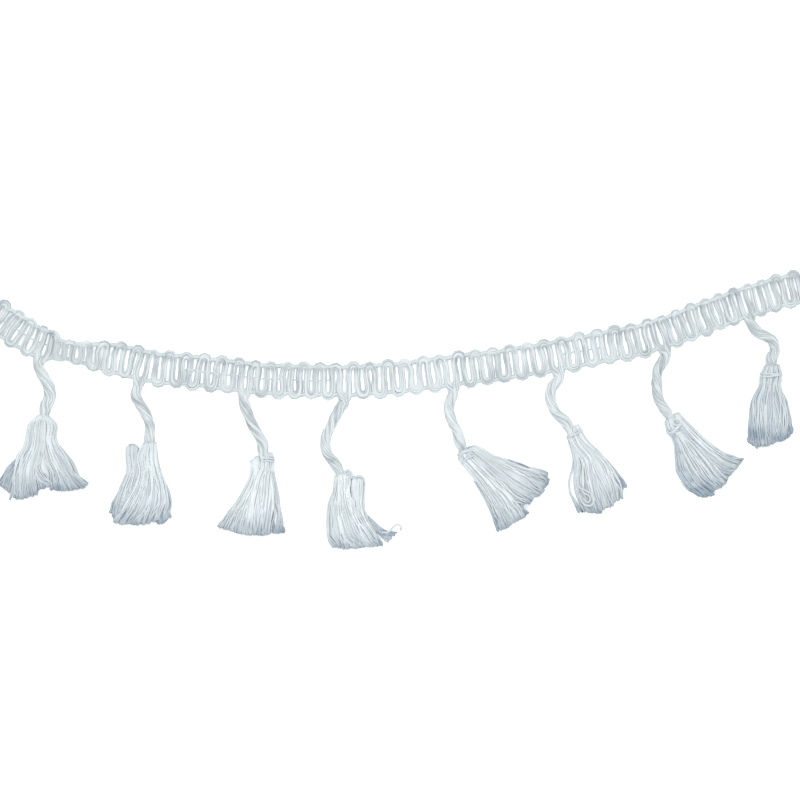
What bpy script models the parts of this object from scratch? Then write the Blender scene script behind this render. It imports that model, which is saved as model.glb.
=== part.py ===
"""Tassel fringe trim, lying on a table.

One soft cotton cord runs to and fro across a narrow heading. Every sixth of its lower
loops is drawn out, twisted on itself as a two-strand rope and threaded through the
folded top of a tassel. The trim lies in a shallow swag, with one part of the heading
turned up on its lower edge.

Frame: +X along the trim, +Y from the tassels to the heading's top edge, +Z up.
The origin is on the underside of the heading, at the leg nearest its middle.
Sizes are in millimetres and are turned to metres when a curve is made.
"""
import math

import bmesh
import bpy
import numpy as np

MM = 0.001

# ---------------------------------------------------------------- driving dimensions
HEADING_WIDTH = 15.3            # over the tips of the loops
CORD_WIDTH = 2.75               # the cord as it lies in the heading
CORD_THICKNESS = 2.1            # its height there
CORD_FLAT = 0.56                # share of its width that is flat, above and below
LEAST_SLOT = 0.5                # clear slot kept between neighbouring legs
FIRST_LOOP = -4                 # lower loops, numbered from the first tassel's
LAST_LOOP = 46
LOOPS_PER_TASSEL = 6
ORIGIN_LEG = 21.25              # the leg whose underside holds the origin

ROPE_SIZE = 0.9                 # the twist squeezes the cord to this share of its size
ROPE_OFFSET = 1.34              # a strand's centre to the rope's centre
HALF_TURN_LENGTH = 7.6          # length of rope for half a turn
PARALLEL_LENGTH = 3.0           # the two strands run side by side first
CLOSING_LENGTH = 4.0            # and come together over this
ROPE_STEP = 2.1                 # length of rope between two of its sections

CROWN_THICKNESS = 3.4           # the folded yarn at the top of a tassel
CROWN_HEIGHT = 4.1              # its centre above the table
LEAST_HALF_SPACING = 3.35       # from a head's middle to the centre of each side, at least
CROWN_INSET = 1.25              # each side's centre from the outside of the neck
ROOT_SHARE = 0.305              # the sides' spacing in the neck, as a share of its width
CLEARANCE = 0.3
EYE_RADIUS = CROWN_THICKNESS / 2 + CORD_THICKNESS / 2 + CLEARANCE
EYE_SIZE = 0.9                  # the cord is squeezed a little where it goes round the crown
NECK_START = 4.6                # from the crown's centre to the neck
NECK_LENGTH = 5.0
NECK_TOP = 6.3
TIE_THICKNESS = 0.8
TIE_PLACE = 2.5                 # from the neck's start
LOCK_ROOT = 3.6                 # from the neck's start to where a lock begins inside it
FAN_CENTRE = 1.4                # from the neck's start to where the skirt's directions meet
LOCK_FLATNESS = 0.6             # height of a lock over its width
LOCK_SHARE = 0.62               # width of a lock's tip over the space that it has
LEAST_LOCK = 1.2
WIDEST_LOCK = 2.2

# The middle of the heading as it is seen from above: x, y
HEADING_LINE = (
    (-184.0, 41.0),
    (-168.0, 29.4),
    (-152.0, 18.4),
    (-143.0, 13.8),
    (-134.0, 11.1),
    (-120.0, 8.6),
    (-110.0, 7.0),
    (-100.0, 4.4),
    (-80.0, 2.6),
    (-56.0, -0.2),
    (-24.0, -1.2),
    (0.0, 0.3),
    (24.0, 3.3),
    (48.0, 6.4),
    (80.0, 12.2),
    (96.0, 15.3),
    (108.0, 19.0),
    (120.0, 23.6),
    (136.0, 29.4),
    (152.0, 34.3),
    (184.0, 42.0),
)

# Where the lower loops stand along the heading: loop number, x of the heading's middle
LOOP_PLACES = (
    (-6.0, -174.5),
    (-2.0, -152.9),
    (0.0, -141.6),
    (6.0, -102.9),
    (12.0, -61.6),
    (18.0, -22.3),
    (24.0, 20.3),
    (30.0, 62.1),
    (36.0, 103.6),
    (42.0, 137.7),
    (44.0, 148.6),
    (48.0, 174.5),
)

# How far the heading is turned up on its lower edge: loop number, degrees
HEADING_TILT = (
    (0.25, 0.0),
    (0.6, 34.0),
    (0.9, 54.0),
    (1.3, 55.0),
    (2.3, 50.0),
    (3.35, 33.0),
    (4.15, 15.0),
    (4.8, 0.0),
)

# One row for each tassel. bends: points of its rope between the heading and the crown.
# crown: the crown's place. pull: the way the rope pulls it. fan: directions and lengths
# of the skirt from side to side. Directions are in degrees from -Y towards +X.
# neck: the neck's width. bulge: how far the skirt's two sides swell out. split: the
# direction where it parts.
TASSELS = (
    dict(bends=((-140.4, -3.2), (-139.9, -8.0)), crown=(-142.0, -15.8), pull=-6, neck=11.0, bulge=(1.6, 0.6),
         fan=((-40, 27.5), (-20, 29.6), (-6, 27.0), (12, 25.6), (40, 26.8)), split=-1, tie=False),
    dict(bends=((-105.6, -7.4), (-102.4, -12.8), (-99.9, -18.6)), crown=(-102.2, -27.4), pull=-8,
         neck=11.8, bulge=(0.4, 2.2), fan=((-33, 23.6), (-14, 28.6), (2, 26.0), (18, 27.0), (27, 25.0)),
         split=4, tie=False),
    dict(bends=((-61.9, -11.2), (-59.4, -17.9), (-56.3, -23.2)), crown=(-54.9, -31.0), pull=2,
         neck=11.2, bulge=(-0.4, 0.4), fan=((-40, 28.4), (-28, 26.4), (-8, 27.2), (8, 26.4), (19, 26.4)),
         split=None, tie=False),
    dict(bends=((-23.6, -11.2), (-27.2, -18.3), (-29.8, -24.4), (-29.0, -30.2)), crown=(-23.0, -37.4),
         pull=24, neck=12.2, bulge=(2.4, 1.2),
         fan=((-20, 24.2), (-8, 26.6), (8, 26.6), (24, 26.4), (32, 27.5)), split=None, tie=False),
    dict(bends=((19.6, -11.1), (20.6, -16.6), (23.0, -22.0)), crown=(25.9, -27.8), pull=30,
         neck=11.0, bulge=(-0.6, 3.4), fan=((20, 31.0), (36, 29.4), (50, 25.4), (62, 29.6), (76, 31.4)),
         split=49, tie=False),
    dict(bends=((60.8, -3.6), (60.2, -8.2), (62.2, -13.8)), crown=(67.8, -20.4), pull=30,
         neck=9.2, bulge=(0.6, 1.6), fan=((3, 27.5), (12, 30.2), (26, 30.6), (38, 29.0), (49, 27.2)),
         split=None, tie=True),
    dict(bends=((103.0, 3.2), (102.6, -2.5), (103.2, -8.0)), crown=(108.2, -15.9), pull=36,
         neck=9.6, bulge=(1.8, -0.6), fan=((6, 22.4), (18, 28.6), (32, 31.4), (52, 28.4), (67, 28.4)),
         split=None, tie=True),
    dict(bends=((143.2, 18.2), (148.6, 15.4), (149.8, 10.6)), crown=(148.2, 3.8), pull=-2,
         neck=9.2, bulge=(2.2, 1.4), fan=((-21, 25.0), (-14, 27.8), (-2, 26.2), (12, 22.6), (25, 20.8)),
         split=None, tie=True),
)

# The skirt's layers of locks, from the table up: number of locks, height above the
# table at the tips and at the neck, share of the fan's length, share of its spread
LAYERS = (
    dict(locks=9, tip_height=0.0, neck_height=0.45, reach=1.0, spread=1.0),
    dict(locks=8, tip_height=1.6, neck_height=2.15, reach=0.94, spread=0.88),
    dict(locks=5, tip_height=3.2, neck_height=3.85, reach=0.86, spread=0.62),
)
STAGGER = 0.85                  # every other lock leaves the neck this much higher

CORD_OUTLINE = (
    (-CORD_FLAT / 2, -0.5), (CORD_FLAT / 2, -0.5), (0.5, 0.0),
    (CORD_FLAT / 2, 0.5), (-CORD_FLAT / 2, 0.5), (-0.5, 0.0),
)
LOCK_OUTLINE = ((-0.5, 0.0), (0.5, 0.0), (0.0, 1.0))
NECK_OUTLINE = (
    (-0.3, 0.0), (0.3, 0.0), (0.5, 0.28), (0.47, 0.62),
    (0.25, 0.97), (-0.25, 0.97), (-0.47, 0.62), (-0.5, 0.28),
)


# ---------------------------------------------------------------- lines in space
def unevenness(*numbers):
    """A steady, uneven number from -1 to 1 for a set of whole numbers."""
    mixed = math.sin(sum(n * k for n, k in zip(numbers, (12.9898, 78.233, 37.719)))) * 43758.5453
    return 2.0 * (mixed - math.floor(mixed)) - 1.0


def smooth_line(points, steps_between=12):
    """A Catmull-Rom line through the points, as closely spaced points."""
    p = np.asarray(points, float)
    p = np.vstack([2 * p[0] - p[1], p, 2 * p[-1] - p[-2]])
    t = np.linspace(0.0, 1.0, steps_between, endpoint=False)[:, None]
    pieces = []
    for a, b, c, d in zip(p[:-3], p[1:-2], p[2:-1], p[3:]):
        pieces.append(0.5 * (2 * b + (c - a) * t + (2 * a - 5 * b + 4 * c - d) * t**2
                             + (3 * b - a - 3 * c + d) * t**3))
    return np.vstack(pieces + [p[-2:-1]])


def lengths_along(line):
    """Distance from the line's start to each of its points."""
    return np.concatenate([[0.0], np.cumsum(np.linalg.norm(np.diff(line, axis=0), axis=1))])


def point_at(line, distance):
    """The line's point at a distance from its start."""
    along = lengths_along(line)
    return np.array([np.interp(distance, along, line[:, i]) for i in range(line.shape[1])])


def direction(degrees):
    """A unit step in the plane, measured from -Y towards +X."""
    angle = math.radians(degrees)
    return np.array([math.sin(angle), -math.cos(angle)])


MIDDLE_LINE = smooth_line(HEADING_LINE)
ALONG_MIDDLE = lengths_along(MIDDLE_LINE)


def heading_place(loop):
    """Distance along the heading's middle line of a (fractional) loop number."""
    x = np.interp(loop, [row[0] for row in LOOP_PLACES], [row[1] for row in LOOP_PLACES])
    return float(np.interp(x, MIDDLE_LINE[:, 0], ALONG_MIDDLE))


def across_heading(place):
    """The heading's middle point and the direction across it, towards its top edge."""
    middle = point_at(MIDDLE_LINE, place)
    ahead = point_at(MIDDLE_LINE, place + 4.0) - point_at(MIDDLE_LINE, place - 4.0)
    ahead /= np.linalg.norm(ahead)
    return middle, np.array([-ahead[1], ahead[0]])


def heading_tilt(loop):
    """How far the heading is turned up at a loop, in radians."""
    loops, degrees = zip(*HEADING_TILT)
    return math.radians(np.interp(loop, loops, degrees))


def heading_point(loop, across):
    """A point of the cord's centre in the heading, from its loop number and its place across."""
    middle, upward = across_heading(heading_place(loop))
    tilt = heading_tilt(loop)
    flat = middle + upward * across * math.cos(tilt)
    corner = CORD_FLAT / 2 * CORD_WIDTH * math.sin(tilt) + CORD_THICKNESS / 2 * math.cos(tilt)
    rest = max(corner, CORD_WIDTH / 2 * math.sin(tilt))
    from_lower_edge = across + HEADING_WIDTH / 2 - CORD_WIDTH / 2
    return np.array([*flat, rest + max(from_lower_edge, 0.0) * math.sin(tilt)])


def heading_normal(loop):
    """The direction square to the heading's band."""
    _, upward = across_heading(heading_place(loop))
    tilt = heading_tilt(loop)
    return np.array([*(-upward * math.sin(tilt)), math.cos(tilt)])


def leg_spacing(loop):
    """Distance between neighbouring legs, centre to centre."""
    return (heading_place(loop + 0.5) - heading_place(loop - 0.5)) / 2


def cord_size(loop):
    """The cord's share of its full thickness, less where the legs crowd together."""
    edge = HEADING_WIDTH / 2 - CORD_WIDTH / 2
    gaps = [
        np.linalg.norm(heading_point(loop + 0.25, across) - heading_point(loop - 0.25, across))
        for across in (-edge, edge)
    ]
    return min((min(gaps) - LEAST_SLOT) / CORD_WIDTH, 1.0)


# ---------------------------------------------------------------- the cord's path
def turn_points(loop, upper):
    """The half circle that joins two legs, with the band's normal at each point."""
    radius = leg_spacing(loop) / 2
    edge = HEADING_WIDTH / 2 - CORD_WIDTH / 2 - radius
    edge += 0.3 * unevenness(loop * 2, 1)
    sign = 1 if upper else -1
    turn = []
    for angle in np.radians((180, 120, 60, 0)):
        here = loop + 0.25 * math.cos(angle)
        place = heading_point(here, sign * (edge + radius * math.sin(angle)))
        turn.append((place, heading_normal(here)))
    return turn


def rope_line(number):
    """The centre line of a drop's rope, from the heading to the crown of its tassel."""
    row = TASSELS[number]
    middle, upward = across_heading(heading_place(number * LOOPS_PER_TASSEL))
    edge = HEADING_WIDTH / 2
    crown = np.array(row["crown"])
    before_crown = crown - 5.0 * direction(row["pull"])
    points = [middle - upward * (edge - 3.2), middle - upward * (edge + 1.2)]
    points += [np.array(bend) for bend in row["bends"]] + [before_crown, crown]
    return smooth_line(points)


def drop_points(number):
    """The cord down one strand of a drop, round the crown and up the other strand.

    Each point comes with the direction that the cord's flat side faces there.
    """
    line = rope_line(number)
    length = lengths_along(line)[-1]
    rope_length = length - EYE_RADIUS * 1.5
    twisted = rope_length - PARALLEL_LENGTH
    half_turns = round(twisted / HALF_TURN_LENGTH - 0.5) + 0.5
    start_offset = leg_spacing(number * LOOPS_PER_TASSEL) / 2
    rest_height = ROPE_OFFSET + CORD_THICKNESS / 2
    up = np.array([0.0, 0.0, 1.0])
    going, coming = [], []
    for s in np.linspace(0.0, rope_length, round(rope_length / ROPE_STEP) + 1):
        ahead = point_at(line, min(s + 0.5, length)) - point_at(line, max(s - 0.5, 0.0))
        ahead /= np.linalg.norm(ahead)
        side = np.array([-ahead[1], ahead[0], 0.0])
        turn = math.pi * half_turns * max(s - PARALLEL_LENGTH, 0.0) / twisted
        closing = min(s / CLOSING_LENGTH, 1.0)
        offset = start_offset + (ROPE_OFFSET - start_offset) * closing
        lift = min(max((s - rope_length + 9.0) / 9.0, 0.0), 1.0)
        height = CORD_THICKNESS / 2 + (rest_height - CORD_THICKNESS / 2) * closing
        height += (CROWN_HEIGHT - height) * lift**2 * (3 - 2 * lift)
        centre = np.array([*point_at(line, s), height])
        away = -math.cos(turn) * side + math.sin(turn) * up
        face_turn = turn - math.pi / 2 * (1 - closing)
        face = -math.cos(face_turn) * side + math.sin(face_turn) * up
        going.append((centre + offset * away, face))
        coming.append((centre - offset * away, face))
    crown = np.array([*line[-1], CROWN_HEIGHT])
    pull = np.array([*direction(TASSELS[number]["pull"]), 0.0])
    first_side = 1.0 if round(half_turns - 0.5) % 2 == 0 else -1.0
    eye = []
    for angle in np.radians(np.linspace(135, -135, 10)):
        outward = pull * math.cos(angle) + up * first_side * math.sin(angle)
        eye.append((crown + EYE_RADIUS * outward, outward))
    return going, eye, coming[::-1]


def cord_rolls(points, faces):
    """How far the cord's section is rolled from level at each point, to face its own way.

    The section looks the same after half a turn, so at each point the roll is the one that
    carries on from the point before.
    """
    points = np.array(points)
    steps = np.diff(points, axis=0)
    steps /= np.linalg.norm(steps, axis=1)[:, None]
    tangents = np.vstack([steps[:1], steps[:-1] + steps[1:], steps[-1:]])
    tangents /= np.linalg.norm(tangents, axis=1)[:, None]
    level = np.cross(tangents, (0.0, 0.0, 1.0))
    level /= np.linalg.norm(level, axis=1)[:, None]
    above = np.cross(level, tangents)
    wide = np.cross(tangents, np.array(faces))
    for i in range(1, len(wide)):
        if wide[i] @ wide[i - 1] < 0:
            wide[i] = -wide[i]
    return np.arctan2(-(wide * above).sum(axis=1), (wide * level).sum(axis=1))


def cord_path():
    """Every point of the cord's centre, with its thickness share and its roll."""
    points, faces, sizes = [], [], []

    def add(run, size):
        for place, face in run:
            points.append(place)
            faces.append(face)
            sizes.append(size)

    for loop in range(FIRST_LOOP, LAST_LOOP + 1):
        size = cord_size(loop)
        number, remainder = divmod(loop, LOOPS_PER_TASSEL)
        if remainder == 0 and 0 <= number < len(TASSELS):
            going, eye, coming = drop_points(number)
            add(going[:1], size)
            add(going[1:], ROPE_SIZE)
            add(eye, EYE_SIZE)
            add(coming[:-1], ROPE_SIZE)
            add(coming[-1:], size)
        else:
            add(turn_points(loop, upper=False), size)
        if loop < LAST_LOOP:
            add(turn_points(loop + 0.5, upper=True), size)
    return points, sizes, cord_rolls(points, faces)


ORIGIN = heading_point(ORIGIN_LEG, 0.0) * (1.0, 1.0, 0.0)


# ---------------------------------------------------------------- making solids
def new_collection(name):
    """A collection in the scene."""
    collection = bpy.data.collections.new(name)
    bpy.context.scene.collection.children.link(collection)
    return collection


def outline_curve(name, outline, width, height):
    """A closed outline in its own plane, to be carried along a path."""
    curve = bpy.data.curves.new(name, "CURVE")
    curve.dimensions = "2D"
    spline = curve.splines.new("POLY")
    spline.points.add(len(outline) - 1)
    for point, (x, y) in zip(spline.points, outline):
        point.co = (x * width * MM, y * height * MM, 0.0, 1.0)
    spline.use_cyclic_u = True
    obj = bpy.data.objects.new(name, curve)
    obj.hide_render = True
    obj.display_type = "WIRE"
    return obj


def swept_solid(name, points, outline, sizes=None, rolls=None, closed=False):
    """The closed solid that an outline leaves as it is carried along a path."""
    curve = bpy.data.curves.new(name, "CURVE")
    curve.dimensions = "3D"
    curve.twist_mode = "MINIMUM" if closed else "Z_UP"
    curve.bevel_mode = "OBJECT"
    curve.bevel_object = outline
    curve.use_fill_caps = not closed
    curve.render_resolution_u = 0
    spline = curve.splines.new("POLY")
    spline.points.add(len(points) - 1)
    for i, place in enumerate(points):
        x, y, z = (np.array(place) - ORIGIN) * MM
        spline.points[i].co = (x, y, z, 1.0)
        spline.points[i].radius = 1.0 if sizes is None else float(sizes[i])
        spline.points[i].tilt = 0.0 if rolls is None else float(rolls[i])
    spline.use_cyclic_u = closed
    guide = bpy.data.objects.new(name, curve)
    bpy.context.scene.collection.objects.link(guide)
    evaluated = guide.evaluated_get(bpy.context.evaluated_depsgraph_get())
    mesh = bpy.data.meshes.new_from_object(evaluated)
    shape = bmesh.new()
    shape.from_mesh(mesh)
    bmesh.ops.remove_doubles(shape, verts=shape.verts, dist=0.00001)
    bmesh.ops.recalc_face_normals(shape, faces=shape.faces)
    shape.to_mesh(mesh)
    shape.free()
    solid = bpy.data.objects.new(name, mesh)
    solid.matrix_world = guide.matrix_world
    bpy.data.objects.remove(guide)
    return solid


def joined(base, pieces, cutters):
    """The base with the pieces united to it by one exact Boolean."""
    bpy.context.scene.collection.objects.link(base)
    for piece in pieces:
        cutters.objects.link(piece)
        piece.hide_render = True
        piece.display_type = "WIRE"
    union = base.modifiers.new("join", "BOOLEAN")
    union.operation = "UNION"
    union.solver = "EXACT"
    union.operand_type = "COLLECTION"
    union.collection = cutters
    evaluated = base.evaluated_get(bpy.context.evaluated_depsgraph_get())
    mesh = bpy.data.meshes.new_from_object(evaluated)
    base.modifiers.remove(union)
    base.data = mesh
    bpy.context.scene.collection.objects.unlink(base)
    for piece in pieces:
        bpy.data.objects.remove(piece)
    return base


def cotton(name, colour, roughness):
    """A plain cotton finish."""
    material = bpy.data.materials.new(name)
    material.use_nodes = True
    shader = material.node_tree.nodes["Principled BSDF"]
    shader.inputs["Base Color"].default_value = (*colour, 1.0)
    shader.inputs["Roughness"].default_value = roughness
    shader.inputs["Metallic"].default_value = 0.0
    material.diffuse_color = (*colour, 1.0)
    return material


def add_part(obj, name, collection, material):
    """Name a finished solid, give it its finish and put it with the trim's parts."""
    obj.name = name
    obj.data.name = name
    obj.data.materials.clear()
    obj.data.materials.append(material)
    obj.data.shade_smooth()
    obj.data.set_sharp_from_angle(angle=math.radians(50))
    collection.objects.link(obj)


# ---------------------------------------------------------------- tassels
def crown_points(row):
    """The folded yarn: up one side of the head, over its crown and down the other."""
    ahead = direction(row["pull"])
    side = sideways(row["pull"])
    half = max(row["neck"] / 2 - CROWN_INSET, LEAST_HALF_SPACING)
    centre = np.array(row["crown"]) + half * ahead
    root = np.array(row["crown"]) + (NECK_START + 1.4) * ahead
    flat = [root - ROOT_SHARE * row["neck"] * side]
    for angle in np.radians(np.linspace(180, 0, 7)):
        flat.append(centre + half * (side * math.cos(angle) - ahead * math.sin(angle)))
    flat.append(root + ROOT_SHARE * row["neck"] * side)
    return [np.array([*p, CROWN_HEIGHT]) for p in flat]


def neck_floor(row):
    """Height of the neck's underside: a tied neck lies on its tie."""
    return TIE_THICKNESS + CLEARANCE if row["tie"] else 0.0


def neck_point(row, distance):
    """A point of the neck's line, which turns from the rope's pull to the skirt's way."""
    start = np.array(row["crown"]) + NECK_START * direction(row["pull"])
    skirt_way = (row["fan"][0][0] + row["fan"][-1][0]) / 2
    way = row["pull"] + (skirt_way - row["pull"]) * (0.5 + 0.5 * distance / NECK_LENGTH)
    return start + distance * direction(way)


def sideways(degrees):
    """The unit step to the right of a direction."""
    ahead = direction(degrees)
    return np.array([-ahead[1], ahead[0]])


def lock_path(row, layer, lock, uneven):
    """One lock of the skirt, from inside the neck to its tip."""
    share = layer["spread"] * (2 * lock / (layer["locks"] - 1) - 1)
    ways, lengths = zip(*row["fan"])
    way = ways[0] + (ways[-1] - ways[0]) * (share + 1) / 2
    length = np.interp(way, ways, lengths) * layer["reach"] * (1 + 0.035 * uneven)
    if row["split"] is not None:
        away = way - row["split"]
        way += math.copysign(1.6, away) * math.exp(-(away / 24.0) ** 2)
    bulge = row["bulge"][0 if share < 0 else 1] * share
    middle_way = (ways[0] + ways[-1]) / 2
    across = sideways(middle_way)
    fan_centre = neck_point(row, FAN_CENTRE)
    root = neck_point(row, LOCK_ROOT) + across * share * row["neck"] * 0.27
    mouth = neck_point(row, NECK_LENGTH) + across * share * row["neck"] * 0.35
    swell = fan_centre + across * (share + bulge) + 0.52 * length * direction(way)
    tip = fan_centre + length * direction(way)
    share_of_neck = (layer["neck_height"] + STAGGER * (lock % 2)) / NECK_TOP
    leaves = neck_floor(row) + (NECK_TOP - neck_floor(row)) * share_of_neck
    heights = (leaves, leaves, layer["tip_height"], layer["tip_height"])
    return [np.array([*p, h]) for p, h in zip((root, mouth, swell, tip), heights)]


def skirt_locks(number):
    """The locks of one tassel's skirt, layer on layer."""
    row = TASSELS[number]
    locks = []
    for depth, layer in enumerate(LAYERS):
        fan = math.radians(row["fan"][-1][0] - row["fan"][0][0]) * layer["spread"]
        spacing = fan * row["fan"][2][1] * layer["reach"] / (layer["locks"] - 1)
        width = min(max(LOCK_SHARE * spacing, LEAST_LOCK), WIDEST_LOCK)
        outline = outline_curve("lock_outline", LOCK_OUTLINE, width, width * LOCK_FLATNESS)
        for lock in range(layer["locks"]):
            path = lock_path(row, layer, lock, unevenness(number, depth, lock))
            locks.append(swept_solid("lock", path, outline, sizes=(0.5, 0.55, 0.9, 1.0)))
        bpy.data.objects.remove(outline)
    return locks


def build_tassel(number, cutters):
    """One tassel: a folded crown, a neck and a skirt of locks, grown into one solid."""
    row = TASSELS[number]
    neck_height = NECK_TOP - neck_floor(row)
    neck_outline = outline_curve("neck_outline", NECK_OUTLINE, row["neck"], neck_height)
    crown_outline = outline_curve("crown_outline", CORD_OUTLINE, CROWN_THICKNESS, CROWN_THICKNESS)
    distances = [NECK_LENGTH * share for share in (0.0, 0.3, 0.65, 1.0)]
    neck = [np.array([*neck_point(row, d), neck_floor(row)]) for d in distances]
    waist = 0.9 if row["tie"] else 1.0
    base = swept_solid("neck", neck, neck_outline, sizes=(0.88, waist, waist, 0.84))
    crown = swept_solid("crown", crown_points(row), crown_outline)
    tassel = joined(base, [crown] + skirt_locks(number), cutters)
    bpy.data.objects.remove(neck_outline)
    bpy.data.objects.remove(crown_outline)
    return tassel


def build_tie(number):
    """The thread tied round a tassel's neck."""
    row = TASSELS[number]
    centre = neck_point(row, TIE_PLACE)
    ahead = neck_point(row, TIE_PLACE + 0.5) - neck_point(row, TIE_PLACE - 0.5)
    side = np.array([-ahead[1], ahead[0]])
    stand_off = 2 * CLEARANCE + TIE_THICKNESS
    neck_height = NECK_TOP - neck_floor(row)
    ring = []
    for x, y in NECK_OUTLINE:
        across = x * (row["neck"] + stand_off)
        height = neck_floor(row) + neck_height / 2 + (y - 0.485) * (neck_height + stand_off) / 0.97
        ring.append(np.array([*(centre + side * across), height]))
    outline = outline_curve("tie_outline", CORD_OUTLINE, TIE_THICKNESS, TIE_THICKNESS)
    tie = swept_solid("tie", ring, outline, closed=True)
    bpy.data.objects.remove(outline)
    return tie


# ---------------------------------------------------------------- the trim
def build_trim():
    """Clear the scene and make every part of the trim."""
    for obj in list(bpy.data.objects):
        bpy.data.objects.remove(obj)
    parts = new_collection("tassel_fringe_trim")
    cutters = new_collection("cutters")
    cord_finish = cotton("cotton_cord", (0.63, 0.70, 0.71), 0.85)
    yarn_finish = cotton("cotton_yarn", (0.68, 0.76, 0.77), 0.88)

    cord_outline = outline_curve("cord_outline", CORD_OUTLINE, CORD_WIDTH, CORD_THICKNESS)
    points, sizes, rolls = cord_path()
    cord = swept_solid("weft_cord", points, cord_outline, sizes, rolls)
    add_part(cord, "weft_cord", parts, cord_finish)
    for number in range(len(TASSELS)):
        tassel = build_tassel(number, cutters)
        add_part(tassel, "tassel_%d" % (number + 1), parts, yarn_finish)
        if TASSELS[number]["tie"]:
            add_part(build_tie(number), "neck_tie_%d" % (number + 1), parts, yarn_finish)
    bpy.data.objects.remove(cord_outline)


build_trim()
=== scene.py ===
# %% [markdown]
# # A tassel fringe trim
# This trim is what a haberdasher sells by the metre for cushions and curtains: one soft cotton
# cord looped to and fro into a narrow heading, with a twisted drop and a tassel at every sixth
# loop. It lies in a shallow swag on a table. Everything here is yarn, so nearly everything is
# made in one way: a section carried along a path. A curve object with a bevel would do for one
# cord, but there are over a thousand yarns here with a shade of their own, so their surfaces are
# worked out as arrays.

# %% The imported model
import math

import bpy
import numpy as np
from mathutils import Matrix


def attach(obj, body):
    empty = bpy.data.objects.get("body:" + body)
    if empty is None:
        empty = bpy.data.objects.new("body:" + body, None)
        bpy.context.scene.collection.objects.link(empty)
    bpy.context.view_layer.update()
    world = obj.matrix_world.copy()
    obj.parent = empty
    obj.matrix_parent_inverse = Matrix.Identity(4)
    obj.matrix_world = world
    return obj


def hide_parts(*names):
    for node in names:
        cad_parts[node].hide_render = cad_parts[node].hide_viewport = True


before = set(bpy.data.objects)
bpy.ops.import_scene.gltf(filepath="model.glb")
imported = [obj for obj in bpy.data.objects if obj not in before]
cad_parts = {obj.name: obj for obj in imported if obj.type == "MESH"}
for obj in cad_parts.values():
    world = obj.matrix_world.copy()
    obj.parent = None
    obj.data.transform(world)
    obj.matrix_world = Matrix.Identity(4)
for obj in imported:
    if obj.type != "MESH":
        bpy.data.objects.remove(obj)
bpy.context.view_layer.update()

MM = 0.001
print("the packed model has", len(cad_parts), "nodes")

# %% [markdown]
# ## The camera
# The trim is looked at from straight above, as it would be laid out for a catalogue. A short lens
# close by would make the outer tassels lean away, so a long lens stands far off. An orthographic
# camera would do it too, but a long lens is what a studio has.

# %% The camera
VIEW_CENTRE = (-0.775, -9.18)      # mm, the place under the camera
VIEW_WIDTH = 320.0                 # mm of table across the view
LENS = 200.0                       # mm
SENSOR = 36.0                      # mm
CAMERA_HEIGHT = VIEW_WIDTH * LENS / SENSOR
FARTHEST = 50.0                    # m, the end of what the camera sees


def make_camera():
    """A camera that looks straight down from a height of view width x lens / sensor."""
    data = bpy.data.cameras.new("camera")
    data.lens = LENS
    data.sensor_width = SENSOR
    data.clip_end = FARTHEST
    camera = bpy.data.objects.new("camera", data)
    camera.location = (VIEW_CENTRE[0] * MM, VIEW_CENTRE[1] * MM, CAMERA_HEIGHT * MM)
    bpy.context.scene.collection.objects.link(camera)
    bpy.context.scene.camera = camera


make_camera()
print("the camera stands", round(CAMERA_HEIGHT), "mm above the table")

# %% [markdown]
# ## The table
# The trim lies on a plain white table top. One flat square is enough, because none of its edges
# shows. It lies a fifth of a millimetre under the trim, so that no two surfaces fall together,
# and it is matt, so that it mirrors no lamp.

# %% The table
TABLE_SIZE = 6.0                   # m
TABLE_DEPTH = 0.0002               # m below the trim
TABLE_WHITE = (0.90, 0.94, 0.95, 1.0)
TABLE_ROUGHNESS = 0.9


def make_table():
    """A square whose corners are half its size from the middle, each way."""
    half = TABLE_SIZE / 2
    corners = [(-half, -half), (half, -half), (half, half), (-half, half)]
    mesh = bpy.data.meshes.new("table")
    mesh.from_pydata([(x, y, -TABLE_DEPTH) for x, y in corners], [], [(0, 1, 2, 3)])
    material = bpy.data.materials.new("white_table")
    material.use_nodes = True
    shader = material.node_tree.nodes["Principled BSDF"]
    shader.inputs["Base Color"].default_value = TABLE_WHITE
    shader.inputs["Roughness"].default_value = TABLE_ROUGHNESS
    mesh.materials.append(material)
    table = bpy.data.objects.new("table", mesh)
    bpy.context.scene.collection.objects.link(table)


make_table()
print("the table is", TABLE_SIZE, "m wide")

# %% [markdown]
# ## The light
# Cotton looks soft in a bright, even studio. A sun lamp would draw hard shadows between the
# yarns, so three large softboxes light the trim, with a dim pale room all round. The softbox
# beyond the heading is a little stronger than the near one, so the upper side of each loop is a
# little lighter.

# %% Three softboxes and the room
SOFTBOXES = (                      # name, place in m, size in m, power in W
    ("overhead_softbox", (0.0, 0.1, 2.3), 0.5, 37.0),
    ("upper_softbox", (0.1, 1.2, 1.5), 0.7, 15.0),
    ("lower_softbox", (0.0, -1.4, 1.3), 0.9, 12.0),
)
ROOM_COLOUR = (0.97, 0.99, 1.0, 1.0)
ROOM_STRENGTH = 0.3


def make_softbox(name, place, size, power):
    """A square area light at a place, turned to face the trim."""
    data = bpy.data.lights.new(name, "AREA")
    data.shape = "SQUARE"
    data.size = size
    data.energy = power
    light = bpy.data.objects.new(name, data)
    light.location = place
    light.rotation_euler = (-light.location).to_track_quat("-Z", "Y").to_euler()
    bpy.context.scene.collection.objects.link(light)


def make_room():
    """The same pale light from every side."""
    world = bpy.data.worlds.new("studio")
    world.use_nodes = True
    background = world.node_tree.nodes["Background"]
    background.inputs["Color"].default_value = ROOM_COLOUR
    background.inputs["Strength"].default_value = ROOM_STRENGTH
    bpy.context.scene.world = world


for softbox in SOFTBOXES:
    make_softbox(*softbox)
make_room()
bpy.context.scene.view_settings.view_transform = "Standard"
print("the softboxes give", sum(power for *_, power in SOFTBOXES), "W")

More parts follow.
